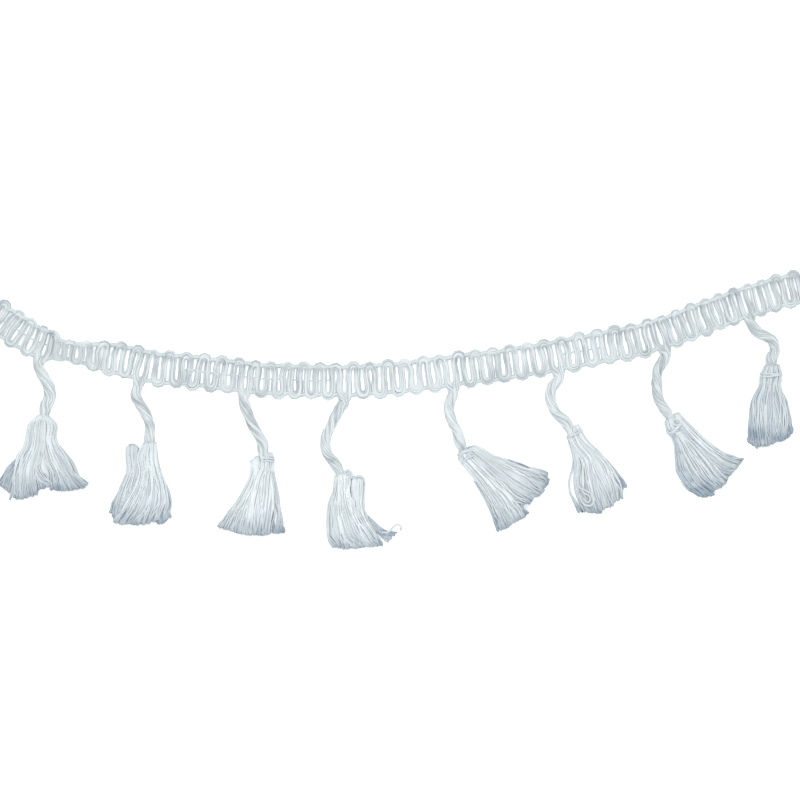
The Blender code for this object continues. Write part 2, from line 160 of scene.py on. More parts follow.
# %% [markdown]
# ## Twisted yarn
# Soft cotton yarn is two plies twisted together, with finer fibres running along them. A painted
# texture would have to be laid along every strand, so the relief is worked out from the yarn's
# own UV map instead: U goes once round the yarn, and V is its length in millimetres. The plies
# are a sine wave of both, and the fibres are noise that is drawn out along V.

# %% Nodes and sums of nodes
def add_node(tree, kind, **values):
    """A node with its input sockets or properties set by name."""
    node = tree.nodes.new(kind)
    for name, value in values.items():
        if name in node.inputs.keys():
            node.inputs[name].default_value = value
        else:
            setattr(node, name, value)
    return node


def calculate(tree, operation, first, second):
    """A Math node on two sockets or numbers."""
    node = tree.nodes.new("ShaderNodeMath")
    node.operation = operation
    for socket, value in zip(node.inputs, (first, second)):
        if isinstance(value, (int, float)):
            socket.default_value = value
        else:
            tree.links.new(value, socket)
    return node.outputs[0]


print("helpers:", add_node.__name__, "and", calculate.__name__)

# %% The relief of the plies
PLIES = 2.0
PLY_PITCH = 1.5                    # mm of yarn for a turn of its plies
PLY_SHARE = 0.35                   # how high the plies stand beside the fibres
FIBRE_STRETCH = (9.0, 1.1, 1.0)    # fine round the yarn, long along it
FIBRE_SCALE = 1.6
RELIEF_STRENGTH = 0.7


def ply_height(tree, depth):
    """The bumped normal of share x sin(2 pi (plies x U + V / pitch)) + stretched noise."""
    uv = add_node(tree, "ShaderNodeUVMap", uv_map="yarn")
    parts = add_node(tree, "ShaderNodeSeparateXYZ")
    tree.links.new(uv.outputs[0], parts.inputs[0])
    turns = calculate(tree, "MULTIPLY", parts.outputs[0], PLIES)
    along = calculate(tree, "DIVIDE", parts.outputs[1], PLY_PITCH)
    phase = calculate(tree, "MULTIPLY", calculate(tree, "ADD", turns, along), 2 * math.pi)
    plies = calculate(tree, "SINE", phase, 0.0)
    stretch = add_node(tree, "ShaderNodeMapping")
    stretch.inputs["Scale"].default_value = FIBRE_STRETCH
    tree.links.new(uv.outputs[0], stretch.inputs[0])
    fibres = add_node(tree, "ShaderNodeTexNoise", Scale=FIBRE_SCALE, Detail=3.0)
    tree.links.new(stretch.outputs[0], fibres.inputs["Vector"])
    raised_plies = calculate(tree, "MULTIPLY", plies, PLY_SHARE)
    height = calculate(tree, "ADD", raised_plies, fibres.outputs[0])
    bump = add_node(tree, "ShaderNodeBump", Strength=RELIEF_STRENGTH, Distance=depth * MM)
    tree.links.new(height, bump.inputs["Height"])
    return bump.outputs[0]


print("the plies turn once in", PLY_PITCH, "mm of yarn")

# %% [markdown]
# ## Undyed cotton
# Undyed cotton is a matt, faintly blue white, and never one flat colour. It changes a little from
# yarn to yarn, which comes from the attribute "shade", cloudily over the whole trim, and from
# fibre to fibre. One ramp turns the sum of the three into colour. The attribute "shade" also
# carries painted shade, in the creases between yarns, in the cord's core and under the upper turns,
# and painted light where the band is turned up and near the trim's middle. A second attribute
# paints a blue-grey shade over a tassel's rolled-under tips and its lower locks, by turning them
# towards a tip colour.

# %% From shade and tint to colour
CLOUD_SCALE = 190.0                # clouds some millimetres wide
CLOUD_SHARE = 0.55
FUZZ_SCALE = 2600.0                # specks as fine as fibres
FUZZ_SHARE = 0.35
SHADE_SHARE = 0.6
DEEP_LEVEL = 0.25                  # the sums where the deep and the light colour begin
LIGHT_LEVEL = 0.95
TIP_SHADOW_STRENGTH = 1.9


def object_noise(tree, scale, detail):
    """Noise in the trim's own space."""
    place = add_node(tree, "ShaderNodeTexCoord")
    noise = add_node(tree, "ShaderNodeTexNoise", Scale=scale, Detail=detail)
    tree.links.new(place.outputs["Object"], noise.inputs["Vector"])
    return noise.outputs[0]


def yarn_colour(tree, clouds, light_colour, deep_colour):
    """A ramp from deep to light by 0.6 shade + 0.55 clouds + 0.35 fuzz."""
    shade = add_node(tree, "ShaderNodeAttribute", attribute_name="shade")
    own = calculate(tree, "MULTIPLY", shade.outputs["Fac"], SHADE_SHARE)
    cloudy = calculate(tree, "MULTIPLY", clouds, CLOUD_SHARE)
    fine = calculate(tree, "MULTIPLY", object_noise(tree, FUZZ_SCALE, 2.0), FUZZ_SHARE)
    level = calculate(tree, "ADD", own, calculate(tree, "ADD", cloudy, fine))
    ramp = add_node(tree, "ShaderNodeValToRGB")
    stops = ((DEEP_LEVEL, deep_colour), (LIGHT_LEVEL, light_colour))
    for stop, (position, colour) in zip(ramp.color_ramp.elements, stops):
        stop.position = position
        stop.color = (*colour, 1.0)
    tree.links.new(level, ramp.inputs[0])
    return ramp.outputs[0]


def shadow_tinted(tree, colour, clouds, tip_shadow_colour):
    """A colour mixed with the tip colour by 1.9 x tint x clouds."""
    shadow_tint = add_node(tree, "ShaderNodeAttribute", attribute_name="shadow_tint")
    patchy = calculate(tree, "MULTIPLY", shadow_tint.outputs["Fac"], clouds)
    mix = add_node(tree, "ShaderNodeMix", data_type="RGBA")
    tree.links.new(calculate(tree, "MULTIPLY", patchy, TIP_SHADOW_STRENGTH), mix.inputs["Factor"])
    tree.links.new(colour, mix.inputs[6])
    mix.inputs[7].default_value = (*tip_shadow_colour, 1.0)
    return mix.outputs[2]


print("a yarn's shade weighs", SHADE_SHARE, "and the clouds over it", CLOUD_SHARE)

# %% The cotton finishes
COTTON_FINISH = {"Roughness": 0.88, "Sheen Weight": 0.25, "Sheen Roughness": 0.5,
                 "Specular IOR Level": 0.25}


def cotton(name, light_colour, deep_colour, depth, tip_shadow_colour=None):
    """Matt cotton with a soft sheen, and plies that stand out by a depth in mm."""
    material = bpy.data.materials.new(name)
    material.use_nodes = True
    tree = material.node_tree
    shader = tree.nodes["Principled BSDF"]
    clouds = object_noise(tree, CLOUD_SCALE, 4.0)
    colour = yarn_colour(tree, clouds, light_colour, deep_colour)
    if tip_shadow_colour is not None:
        colour = shadow_tinted(tree, colour, clouds, tip_shadow_colour)
    tree.links.new(colour, shader.inputs["Base Color"])
    tree.links.new(ply_height(tree, depth), shader.inputs["Normal"])
    for socket, value in COTTON_FINISH.items():
        shader.inputs[socket].default_value = value
    return material


cord_cotton = cotton("cord_cotton", (0.58, 0.625, 0.637), (0.24, 0.28, 0.305), 0.06)
# The tassels' tip colour is a blue-grey painted shade.
tassel_cotton = cotton("tassel_cotton", (0.665, 0.71, 0.72), (0.40, 0.45, 0.475), 0.06,
                       tip_shadow_colour=(0.26, 0.32, 0.38))
thread_cotton = cotton("thread_cotton", (0.56, 0.61, 0.62), (0.36, 0.41, 0.43), 0.04)
print("finishes:", [m.name for m in bpy.data.materials if m.name.endswith("cotton")])

# %% [markdown]
# ## Smooth lines
# A yarn has no corners, so every line here is a smooth curve through a few places. A Catmull-Rom
# line serves where the places are evenly spread. Hermite curves serve where many yarns share the
# same knots: one array then holds a place for each knot and each yarn.

# %% Lines through places
def unit(vectors):
    """Each vector divided by its own length."""
    return vectors / np.linalg.norm(vectors, axis=-1, keepdims=True)


def catmull_rom(points, steps_between=12):
    """A line through points. Between b and c, with neighbours a and d, it is
    1/2 (2b + (c - a) t + (2a - 5b + 4c - d) t^2 + (3b - a - 3c + d) t^3)."""
    p = np.asarray(points, float)
    p = np.vstack([2 * p[0] - p[1], p, 2 * p[-1] - p[-2]])
    t = np.linspace(0.0, 1.0, steps_between, endpoint=False)[:, None]
    pieces = []
    for a, b, c, d in zip(p[:-3], p[1:-2], p[2:-1], p[3:]):
        square, cube = 2 * a - 5 * b + 4 * c - d, 3 * b - a - 3 * c + d
        pieces.append(0.5 * (2 * b + (c - a) * t + square * t**2 + cube * t**3))
    return np.vstack(pieces + [p[-2:-1]])


arch = catmull_rom(((0.0, 0.0), (10.0, 10.0), (20.0, 0.0)))
print("an arch through three places has", len(arch), "points")

# %% Lengths along a line
def lengths_along(line):
    """Distance from the line's start to each of its points."""
    return np.concatenate([[0.0], np.cumsum(np.linalg.norm(np.diff(line, axis=0), axis=1))])


def point_at(line, distance):
    """The line's points at distances from its start."""
    along = lengths_along(line)
    return np.stack([np.interp(distance, along, line[:, i]) for i in range(line.shape[1])], axis=-1)


print("the arch is", round(lengths_along(arch)[-1], 1), "mm long")

# %% Curves through shared knots
def hermite(places, slopes, at, knots):
    """Cubic curves: between two knots, h00 p0 + h10 h m0 + h01 p1 + h11 h m1.

    places and slopes have the knots on their first axis, whatever their other axes are.
    """
    low = np.clip(np.searchsorted(knots, at, side="right") - 1, 0, len(knots) - 2)
    gap = knots[low + 1] - knots[low]
    t = (at - knots[low]) / gap
    shape = (-1,) + (1,) * (places.ndim - 1)
    t, gap = t.reshape(shape), gap.reshape(shape)
    return ((2 * t**3 - 3 * t**2 + 1) * places[low] + (t**3 - 2 * t**2 + t) * gap * slopes[low]
            + (3 * t**2 - 2 * t**3) * places[low + 1] + (t**3 - t**2) * gap * slopes[low + 1])


def smooth_through(places, steps, knots=None):
    """A smooth curve through places, at steps even stations between the first knot and the last."""
    if knots is None:
        knots = lengths_along(places)
    at = np.linspace(knots[0], knots[-1], steps)
    return hermite(places, np.gradient(places, knots, axis=0), at, knots), at


print("a smooth curve through", len(arch), "knots has", len(smooth_through(arch, 50)[0]), "points here")

# %% Steps in the plane
def direction(degrees):
    """Unit steps in the plane, measured from -Y towards +X: (sin, -cos)."""
    angle = np.radians(degrees)
    return np.stack([np.sin(angle), -np.cos(angle)], axis=-1)


def sideways(degrees):
    """The unit steps to the right of directions: (cos, sin)."""
    angle = np.radians(degrees)
    return np.stack([np.cos(angle), np.sin(angle)], axis=-1)


def raised(flat, height):
    """Points in the plane, lifted to heights."""
    height = np.broadcast_to(np.asarray(height, float), flat.shape[:-1])
    return np.concatenate([flat, height[..., None]], axis=-1)


print("30 degrees points at", direction(30.0).round(2))

# %% [markdown]
# ## Tubes
# A yarn is a tube: a small ring of points carried along its line. The ring has to be carried
# without spinning, or the plies would seem to twist unevenly. For many yarns at once, a line is
# a row of one array, and so is a ring, and the faces are counted out from the array's shape.

# %% Directions across a path
UP = np.array([0.0, 0.0, 1.0])
FIRST_ACROSS = (0.31, 0.2, 0.93)   # a slant that no line here starts along


def carried_frames(paths):
    """The two directions across each path. The second is carried along it: at every step it
    loses its part along the tangent, so the ring doesn't turn. The first is tangent x second."""
    tangents = unit(np.gradient(paths, axis=1))
    second = np.empty_like(paths)
    carried = np.broadcast_to(FIRST_ACROSS, tangents[:, 0].shape)
    for step in range(paths.shape[1]):
        ahead = tangents[:, step]
        carried = unit(carried - (carried * ahead).sum(-1, keepdims=True) * ahead)
        second[:, step] = carried
    return np.cross(tangents, second), second


slope = np.array([[[0.0, 0.0, 5.0], [10.0, 0.0, 6.0], [20.0, 0.0, 7.0]]])
print("across a rising path:", carried_frames(slope)[0][0, 0].round(2))

# %% The skin over rings
LEAST_HEIGHT = 0.03                # mm that every surface keeps above the table


def ring_uv(rings):
    """For each side face's corners: U = side / sides, V = the length of the middle line."""
    count, steps, sides = rings.shape[:3]
    middle = rings.mean(axis=2)
    strides = np.linalg.norm(np.diff(middle, axis=1, prepend=middle[:, :1]), axis=-1)
    lengths = np.cumsum(strides, axis=1)
    near = np.broadcast_to(lengths[:, :-1, None], (count, steps - 1, sides))
    far = np.broadcast_to(lengths[:, 1:, None], (count, steps - 1, sides))
    left = np.broadcast_to(np.arange(sides) / sides, near.shape)
    right = left + 1.0 / sides
    corners = ((left, near), (left, far), (right, far), (right, near))
    return np.stack([np.stack(corner, -1) for corner in corners], axis=-2).reshape(-1, 2)


def skinned(rings, shade, shadow_tint):
    """The closed surface over rings (tube, step, side, 3), with a flat face at both ends.

    Whatever would reach into the table is pressed flat on it.
    """
    rings = np.concatenate([rings[..., :2], np.maximum(rings[..., 2:], LEAST_HEIGHT)], axis=-1)
    count, steps, sides = rings.shape[:3]
    number = np.arange(count * steps * sides).reshape(count, steps, sides)
    after = np.roll(number, -1, axis=2)
    corners = (number[:, :-1], number[:, 1:], after[:, 1:], after[:, :-1])
    caps = np.concatenate([number[:, 0], number[:, -1, ::-1]])
    return {"points": rings.reshape(-1, 3),
            "quads": np.stack(corners, axis=-1).reshape(-1, 4),
            "caps": caps,
            "uv": ring_uv(rings),
            "cap_uv": np.zeros((caps.size, 2)),
            "shade": np.broadcast_to(shade, (count, steps, sides)).ravel(),
            "shadow_tint": np.repeat(np.broadcast_to(shadow_tint, (count, steps)), sides)}


print("nothing lies lower than", LEAST_HEIGHT, "mm over the table")

# %% Tubes
# Painted shade: a yarn's colour is made deeper where it turns into the creases beside it.
PAINTED_CREASE_SHADE = 0.28                      # how much deeper the colour is in the creases
END_SHARE = 0.55                   # how far the rings at both ends are drawn in


def tubes(paths, half_width, half_height=None, sides=6, frames=None, shade=0.5, shadow_tint=0.0, outward=None):
    """Tubes along paths (tube, step, 3): path + width cos(angle) across + height sin(angle) upward.

    Where an outward direction is given, painted shade makes a yarn deeper in the creases beside
    that side and paler on it: shade - crease x (1 - spoke . outward).
    """
    across, upward = frames if frames is not None else carried_frames(paths)
    wide = np.broadcast_to(half_width, paths.shape[:2]).copy()
    high = wide.copy() if half_height is None else np.broadcast_to(half_height, wide.shape).copy()
    for size in (wide, high):
        size[:, [0, -1]] *= END_SHARE
    angle = np.linspace(0.0, 2 * math.pi, sides, endpoint=False)
    rings = (paths[:, :, None] + (wide[..., None] * np.cos(angle))[..., None] * across[:, :, None]
             + (high[..., None] * np.sin(angle))[..., None] * upward[:, :, None])
    shade = np.broadcast_to(shade, paths.shape[:2])[..., None]
    if outward is not None:
        spokes = unit(rings - paths[:, :, None])
        facing = np.clip((spokes * outward[:, :, None]).sum(-1), 0.0, 1.0)
        shade = shade - PAINTED_CREASE_SHADE * (1.0 - facing)
    return skinned(rings, shade, shadow_tint)


rod = tubes(slope, 1.0)
print("a tube of three rings has", len(rod["quads"]), "side faces and", len(rod["caps"]), "ends")

# %% [markdown]
# ## Pieces
# Each piece of the trim is one mesh made of many tubes. The points, faces, UV map and attributes
# of its tubes are laid end to end and put into the mesh at once, because adding them one by one
# would take minutes. A piece lies still with the trim, and all but the binding stand for a plain
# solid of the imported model.

# %% From tubes to a piece
def yarn_mesh(name, surfaces):
    """One mesh: a later surface's faces count on from the points of those before it."""
    first = np.cumsum([0] + [len(s["points"]) for s in surfaces[:-1]])
    corners = [(s["quads"] + f).ravel() for s, f in zip(surfaces, first)]
    corners += [(s["caps"] + f).ravel() for s, f in zip(surfaces, first)]
    sizes = [np.full(len(s["quads"]), 4) for s in surfaces]
    sizes += [np.full(len(s["caps"]), s["caps"].shape[1]) for s in surfaces]
    uv = np.concatenate([s["uv"] for s in surfaces] + [s["cap_uv"] for s in surfaces])
    corners, sizes = np.concatenate(corners), np.concatenate(sizes)
    points = np.concatenate([s["points"] for s in surfaces]) * MM
    mesh = bpy.data.meshes.new(name)
    mesh.vertices.add(len(points))
    mesh.vertices.foreach_set("co", points.astype(np.float32).ravel())
    mesh.loops.add(len(corners))
    mesh.loops.foreach_set("vertex_index", corners.astype(np.int32))
    mesh.polygons.add(len(sizes))
    mesh.polygons.foreach_set("loop_start", (np.cumsum(sizes) - sizes).astype(np.int32))
    mesh.update(calc_edges=True)
    mesh.uv_layers.new(name="yarn").data.foreach_set("uv", uv.astype(np.float32).ravel())
    for attribute in ("shade", "shadow_tint"):
        values = np.concatenate([s[attribute] for s in surfaces]).astype(np.float32)
        mesh.attributes.new(attribute, "FLOAT", "POINT").data.foreach_set("value", values)
    mesh.shade_smooth()
    return mesh


def make_piece(name, surfaces, material, slot, *nodes):
    """A piece from several surfaces. It rides on the root and stands for the nodes."""
    mesh = yarn_mesh(name, surfaces)
    mesh.materials.append(material)
    piece = bpy.data.objects.new(name, mesh)
    bpy.context.scene.collection.objects.link(piece)
    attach(piece, "root")
    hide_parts(*nodes)
    print(name, "has", len(mesh.loops) - 2 * len(mesh.polygons), "triangles")


print("a tube of 1 mm is stored as", MM, "m")

# %% [markdown]
# ## The heading's course
# The heading is the band of loops that is sewn to the cushion. Its middle follows one smooth line,
# and a place in it is given by two numbers: the loop along it and the distance across it. Beside
# the first drop its lower edge is turned up, so there a step across is also a step up. Working in
# these two numbers keeps every loop simple, however the band lies.

# %% The heading's measures
HEADING_WIDTH = 15.3               # mm over the tips of the loops
CORD_WIDTH = 2.75                  # the cord as it lies in the heading
CORD_THICKNESS = 2.1               # its height there
CORD_FLAT = 0.56                   # the share of its width that is flat below
LEAST_SLOT = 0.5                   # clear slot kept between neighbouring legs
FIRST_LOOP = -4                    # lower loops, numbered from the first tassel's
LAST_LOOP = 46
LOOPS_PER_TASSEL = 6
ORIGIN_LEG = 21.25                 # the leg whose underside holds the origin
EDGE = HEADING_WIDTH / 2 - CORD_WIDTH / 2

HEADING_LINE = (                   # the middle of the heading: x, y
    (-184.0, 41.0), (-168.0, 29.4), (-152.0, 18.4), (-143.0, 13.8), (-134.0, 11.1), (-120.0, 8.6),
    (-110.0, 7.0), (-100.0, 4.4), (-80.0, 2.6), (-56.0, -0.2), (-24.0, -1.2), (0.0, 0.3),
    (24.0, 3.3), (48.0, 6.4), (80.0, 12.2), (96.0, 15.3), (108.0, 19.0), (120.0, 23.6),
    (136.0, 29.4), (152.0, 34.3), (184.0, 42.0),
)
LOOP_PLACES = (                    # loop number, x of the heading's middle
    (-6.0, -174.5), (-2.0, -152.9), (0.0, -141.6), (6.0, -102.9), (12.0, -61.6), (18.0, -22.3),
    (24.0, 20.3), (30.0, 62.1), (36.0, 103.6), (42.0, 137.7), (44.0, 148.6), (48.0, 174.5),
)
HEADING_TILT = (                   # loop number, degrees that the lower edge is turned up
    (0.0, 0.0), (0.25, 16.0), (0.55, 38.0), (0.9, 54.0), (1.3, 55.0), (2.3, 50.0), (3.35, 33.0),
    (4.15, 15.0), (4.8, 0.0),
)
LOOPS, LOOP_X = np.array(LOOP_PLACES).T
TILT_LOOPS, TILT_DEGREES = np.array(HEADING_TILT).T
MIDDLE_LINE = catmull_rom(HEADING_LINE)
ALONG_MIDDLE = lengths_along(MIDDLE_LINE)
print("the heading's middle line is", round(ALONG_MIDDLE[-1]), "mm long")

# %% Places in the heading
NEARBY = 4.0                       # mm either way over which the heading's direction is taken
MIXERS = (12.9898, 78.233, 37.719)  # they keep a loop's uneven numbers apart
BIG_FACTOR = 43758.5453            # leaves only loose digits after the point


def unevenness(*numbers):
    """A steady, uneven number from -1 to 1 for whole numbers: the loose digits of a big sine."""
    mixed = math.sin(sum(n * k for n, k in zip(numbers, MIXERS))) * BIG_FACTOR
    return 2.0 * (mixed - math.floor(mixed)) - 1.0


def heading_place(loop):
    """Distances along the middle line of loop numbers."""
    return np.interp(np.interp(loop, LOOPS, LOOP_X), MIDDLE_LINE[:, 0], ALONG_MIDDLE)


def across_heading(place):
    """Middle points at distances along the line, and the directions across it, upwards."""
    ahead = unit(point_at(MIDDLE_LINE, place + NEARBY) - point_at(MIDDLE_LINE, place - NEARBY))
    return point_at(MIDDLE_LINE, place), np.stack([-ahead[..., 1], ahead[..., 0]], axis=-1)


def heading_tilt(loop):
    """How far the heading is turned up at loop numbers, in radians."""
    return np.radians(np.interp(loop, TILT_LOOPS, TILT_DEGREES))


print("the band is turned up by", round(float(np.degrees(heading_tilt(1.3)))), "degrees at most")

# %% Points in the heading
def heading_points(loop, across):
    """The cord's centre: middle + across x upward x cos(tilt), raised by sin(tilt) of its way up."""
    middle, upward = across_heading(heading_place(loop))
    tilt = heading_tilt(loop)
    corner = CORD_FLAT / 2 * CORD_WIDTH * np.sin(tilt) + CORD_THICKNESS / 2 * np.cos(tilt)
    rest = np.maximum(corner, CORD_WIDTH / 2 * np.sin(tilt))
    climb = np.maximum(across + EDGE, 0.0) * np.sin(tilt)
    return raised(middle + upward * (across * np.cos(tilt))[..., None], rest + climb)


def heading_normals(loop):
    """The direction square to the band: -sin(tilt) upward + cos(tilt) up."""
    _, upward = across_heading(heading_place(loop))
    tilt = heading_tilt(loop)
    return raised(-upward * np.sin(tilt)[..., None], np.cos(tilt))


def leg_spacing(loop):
    """Distance between neighbouring legs, centre to centre."""
    return (heading_place(loop + 0.5) - heading_place(loop - 0.5)) / 2


def cord_size(loop):
    """The cord's share of its full size, less where the legs crowd: (gap - slot) / width."""
    gaps = [np.linalg.norm(heading_points(loop + 0.25, np.array(across))
                           - heading_points(loop - 0.25, np.array(across))) for across in (-EDGE, EDGE)]
    return min((min(gaps) - LEAST_SLOT) / CORD_WIDTH, 1.0)


ORIGIN = heading_points(np.array(ORIGIN_LEG), np.array(0.0)) * (1.0, 1.0, 0.0)
print("legs stand", round(float(leg_spacing(20.0)), 2), "mm apart near the middle")

# %% [markdown]
# ## The cord's turns
# One cord makes the whole heading. It runs up and down across the band in straight legs and turns
# in half circles at both edges, where the soft bundle is pressed outwards and spreads. The upper
# turns are drawn a little tighter than the lower ones, so they stand out as a row of beads. The
# course is made in runs of (points, facings, shapes, places across), which join end to end.

# %% Turns
LEG_SHAPE = (0.98, 1.0)            # the cord's width and height in the heading, as shares
LEAN = 0.045                       # loops lean by up to this share of their spacing
FULLNESS = 0.06                    # and are wider or narrower by up to this share
TURN_INSET = 0.25                  # mm that turns stay inside the edge
TURN_UNEVENNESS = 0.35             # mm that they stand further out or in, at most
TURN_ANGLES = np.radians(np.linspace(180, 0, 9))
TURN_SPREAD = 0.26                 # how much wider the cord is at the tip of a turn
SPREAD_POWER = 0.7                 # under 1, it spreads soon after the leg
BEAD = 0.235                       # half the width of an upper turn, as a share of a loop
BEAD_FOOT = 3.4                    # mm inside the edge where the legs begin to draw together


def turn_run(loop, upper):
    """A turn between two legs: across = centre + radius sin, along = radius cos.

    A lower turn is as wide as its legs stand apart. An upper one is a little narrower, so it
    has a place on each leg too. The width is the leg's share + spread x sin^0.7.
    """
    lean = LEAN * unevenness(loop * 2, 5)
    fullness = 1.0 + FULLNESS * unevenness(loop * 2, 3)
    edge = EDGE - TURN_INSET + TURN_UNEVENNESS * unevenness(loop * 2, 1)
    spread = TURN_SPREAD * np.sin(TURN_ANGLES) ** SPREAD_POWER
    if upper:
        radius = BEAD * 2 * leg_spacing(loop) * fullness
        here = loop + lean + BEAD * fullness * np.cos(TURN_ANGLES)
        across = edge - radius + radius * np.sin(TURN_ANGLES)
        here = np.concatenate([[loop - 0.25], here, [loop + 0.25]])
        across = np.concatenate([[EDGE - BEAD_FOOT], across, [EDGE - BEAD_FOOT]])
        spread = np.concatenate([[0.0], spread, [0.0]])
    else:
        radius = leg_spacing(loop) / 2
        here = loop + lean + 0.25 * fullness * np.cos(TURN_ANGLES)
        across = -(edge - radius + radius * np.sin(TURN_ANGLES))
    shares = np.stack([LEG_SHAPE[0] + spread, np.full(len(here), LEG_SHAPE[1])], axis=-1)
    return heading_points(here, across), heading_normals(here), cord_size(loop) * shares, across


print("a lower turn has", len(turn_run(20, upper=False)[0]), "places")

# %% [markdown]
# ## The drops
# At every sixth lower turn the cord runs out as a drop: down one strand of a two-strand rope,
# round the top of a tassel, and back up the other strand. Twisting two real strands is what keeps
# a drop together, so the two are drawn as a double helix round the rope's centre line. They are
# soft and sink into each other, so each is drawn fuller than the cord is in the heading.

# %% The ropes' measures
ROPE_SHAPE = (1.44, 1.3)           # a strand's width and height in the rope, as shares
EYE_SHAPE = (1.1, 0.9)             # and round the top of a tassel
ROPE_OFFSET = 0.52                 # mm from the rope's centre to a strand's
HALF_TURN_LENGTH = 12.5            # mm of rope for half a turn
PARALLEL_LENGTH = 3.0              # mm that the strands run side by side first
CLOSING_LENGTH = 4.0               # mm over which they come together
ROPE_START = (3.2, 1.2)            # mm inside and outside the heading's edge
ROPE_END = 5.0                     # mm before the crown, where the rope takes the pull's way
RISE = 9.0                         # mm over which the rope climbs to the crown
LOOSE_PLACE = 7.0                  # mm before the rope's end where a loose rope opens most
LOOSE_LENGTH = 4.5
CROWN_HEIGHT = 3.7                 # mm over the table
EYE_RADIUS = 1.7
EYE_SHARE = 1.5                    # eye radii from the rope's end to the crown
EYE_ANGLES = np.radians(np.linspace(135, -135, 20))
OFF_HEADING = -60.0                # the place across that marks points outside the heading
print("a rope's strands turn round each other once in", 2 * HALF_TURN_LENGTH, "mm")

# %% The drops' lines
# One row for each drop: bends of its rope, the crown of its tassel, the way that the rope pulls
# there, in degrees from -Y towards +X, and how far a loose rope's strands lie apart, in mm.
DROPS = (
    dict(bends=((-140.4, -3.2), (-139.9, -8.0)),
         crown=(-142.0, -15.8), pull=-6, loose=0.55),
    dict(bends=((-105.6, -7.4), (-102.4, -12.8), (-99.9, -18.6)),
         crown=(-100.4, -28.0), pull=-4, loose=0.0),
    dict(bends=((-61.9, -11.2), (-59.4, -17.9), (-56.3, -23.2)),
         crown=(-54.6, -31.0), pull=2, loose=0.0),
    dict(bends=((-23.6, -11.2), (-27.2, -18.3), (-29.8, -24.4), (-29.0, -30.2)),
         crown=(-23.6, -38.0), pull=32, loose=0.0),
    dict(bends=((19.6, -11.1), (20.6, -16.6), (23.0, -22.0)),
         crown=(25.6, -29.0), pull=24, loose=0.0),
    dict(bends=((60.8, -3.6), (60.2, -8.2), (62.2, -13.8)),
         crown=(68.2, -21.0), pull=32, loose=0.0),
    dict(bends=((103.0, 3.2), (102.6, -2.5), (103.2, -8.0)),
         crown=(108.2, -15.9), pull=36, loose=0.0),
    dict(bends=((143.2, 18.2), (148.6, 15.4), (149.8, 10.6)),
         crown=(148.2, 3.8), pull=-2, loose=0.0),
)


def rope_line(number):
    """The centre line of a drop's rope, from the heading to the crown of its tassel."""
    row = DROPS[number]
    middle, upward = across_heading(heading_place(number * LOOPS_PER_TASSEL))
    crown = np.array(row["crown"])
    inside, outside = ROPE_START
    points = [middle - upward * (HEADING_WIDTH / 2 - inside),
              middle - upward * (HEADING_WIDTH / 2 + outside)]
    points += [np.array(bend) for bend in row["bends"]]
    return catmull_rom(points + [crown - ROPE_END * direction(row["pull"]), crown])


ropes = [lengths_along(rope_line(number))[-1] for number in range(len(DROPS))]
print("the ropes are", [round(rope) for rope in ropes], "mm long")

# %% A rope's course
def rope_course(number, step=1.0):
    """Along a rope: its centre, its sideways direction, its turn, how far its strands have
    closed, and how far they lie apart.

    The turn grows evenly along the twisted part, by pi for each half turn. The rope climbs to the
    crown by lift^2 (3 - 2 lift), and opens by loose x exp(-(way / length)^2).
    """
    line = rope_line(number)
    length = lengths_along(line)[-1]
    rope_length = length - EYE_RADIUS * EYE_SHARE
    twisted = rope_length - PARALLEL_LENGTH
    half_turns = round(twisted / HALF_TURN_LENGTH - 0.5) + 0.5
    s = np.linspace(0.0, rope_length, round(rope_length / step) + 1)
    ahead = unit(point_at(line, np.minimum(s + 0.5, length)) - point_at(line, np.maximum(s - 0.5, 0.0)))
    side = raised(np.stack([-ahead[:, 1], ahead[:, 0]], axis=-1), 0.0)
    turn = (math.pi * half_turns * np.maximum(s - PARALLEL_LENGTH, 0.0) / twisted)[:, None]
    closing = np.minimum(s / CLOSING_LENGTH, 1.0)[:, None]
    lift = np.clip((s - rope_length + RISE) / RISE, 0.0, 1.0)
    height = CORD_THICKNESS / 2 + ROPE_OFFSET * closing[:, 0]
    height += (CROWN_HEIGHT - height) * lift**2 * (3 - 2 * lift)
    open_place = (s - rope_length + LOOSE_PLACE) / LOOSE_LENGTH
    loose = DROPS[number]["loose"] * np.exp(-(open_place ** 2))[:, None]
    return raised(point_at(line, s), height), side, turn, closing, loose


print("the first rope makes", round(rope_course(0)[2][-1, 0] / math.pi, 1), "half turns")

# %% Two strands and an eye
def eye_run(number, half_turns):
    """A circle round the crown, from one strand to the other: radius (cos pull + sin up).

    After an odd number of whole half turns the first strand ends below, so it starts from below.
    """
    first_side = 1.0 if round(half_turns - 0.5) % 2 == 0 else -1.0
    pull = raised(direction(DROPS[number]["pull"]), 0.0)
    outward = np.cos(EYE_ANGLES)[:, None] * pull + first_side * np.sin(EYE_ANGLES)[:, None] * UP
    crown = raised(rope_line(number)[-1], CROWN_HEIGHT)
    return crown + EYE_RADIUS * outward, outward


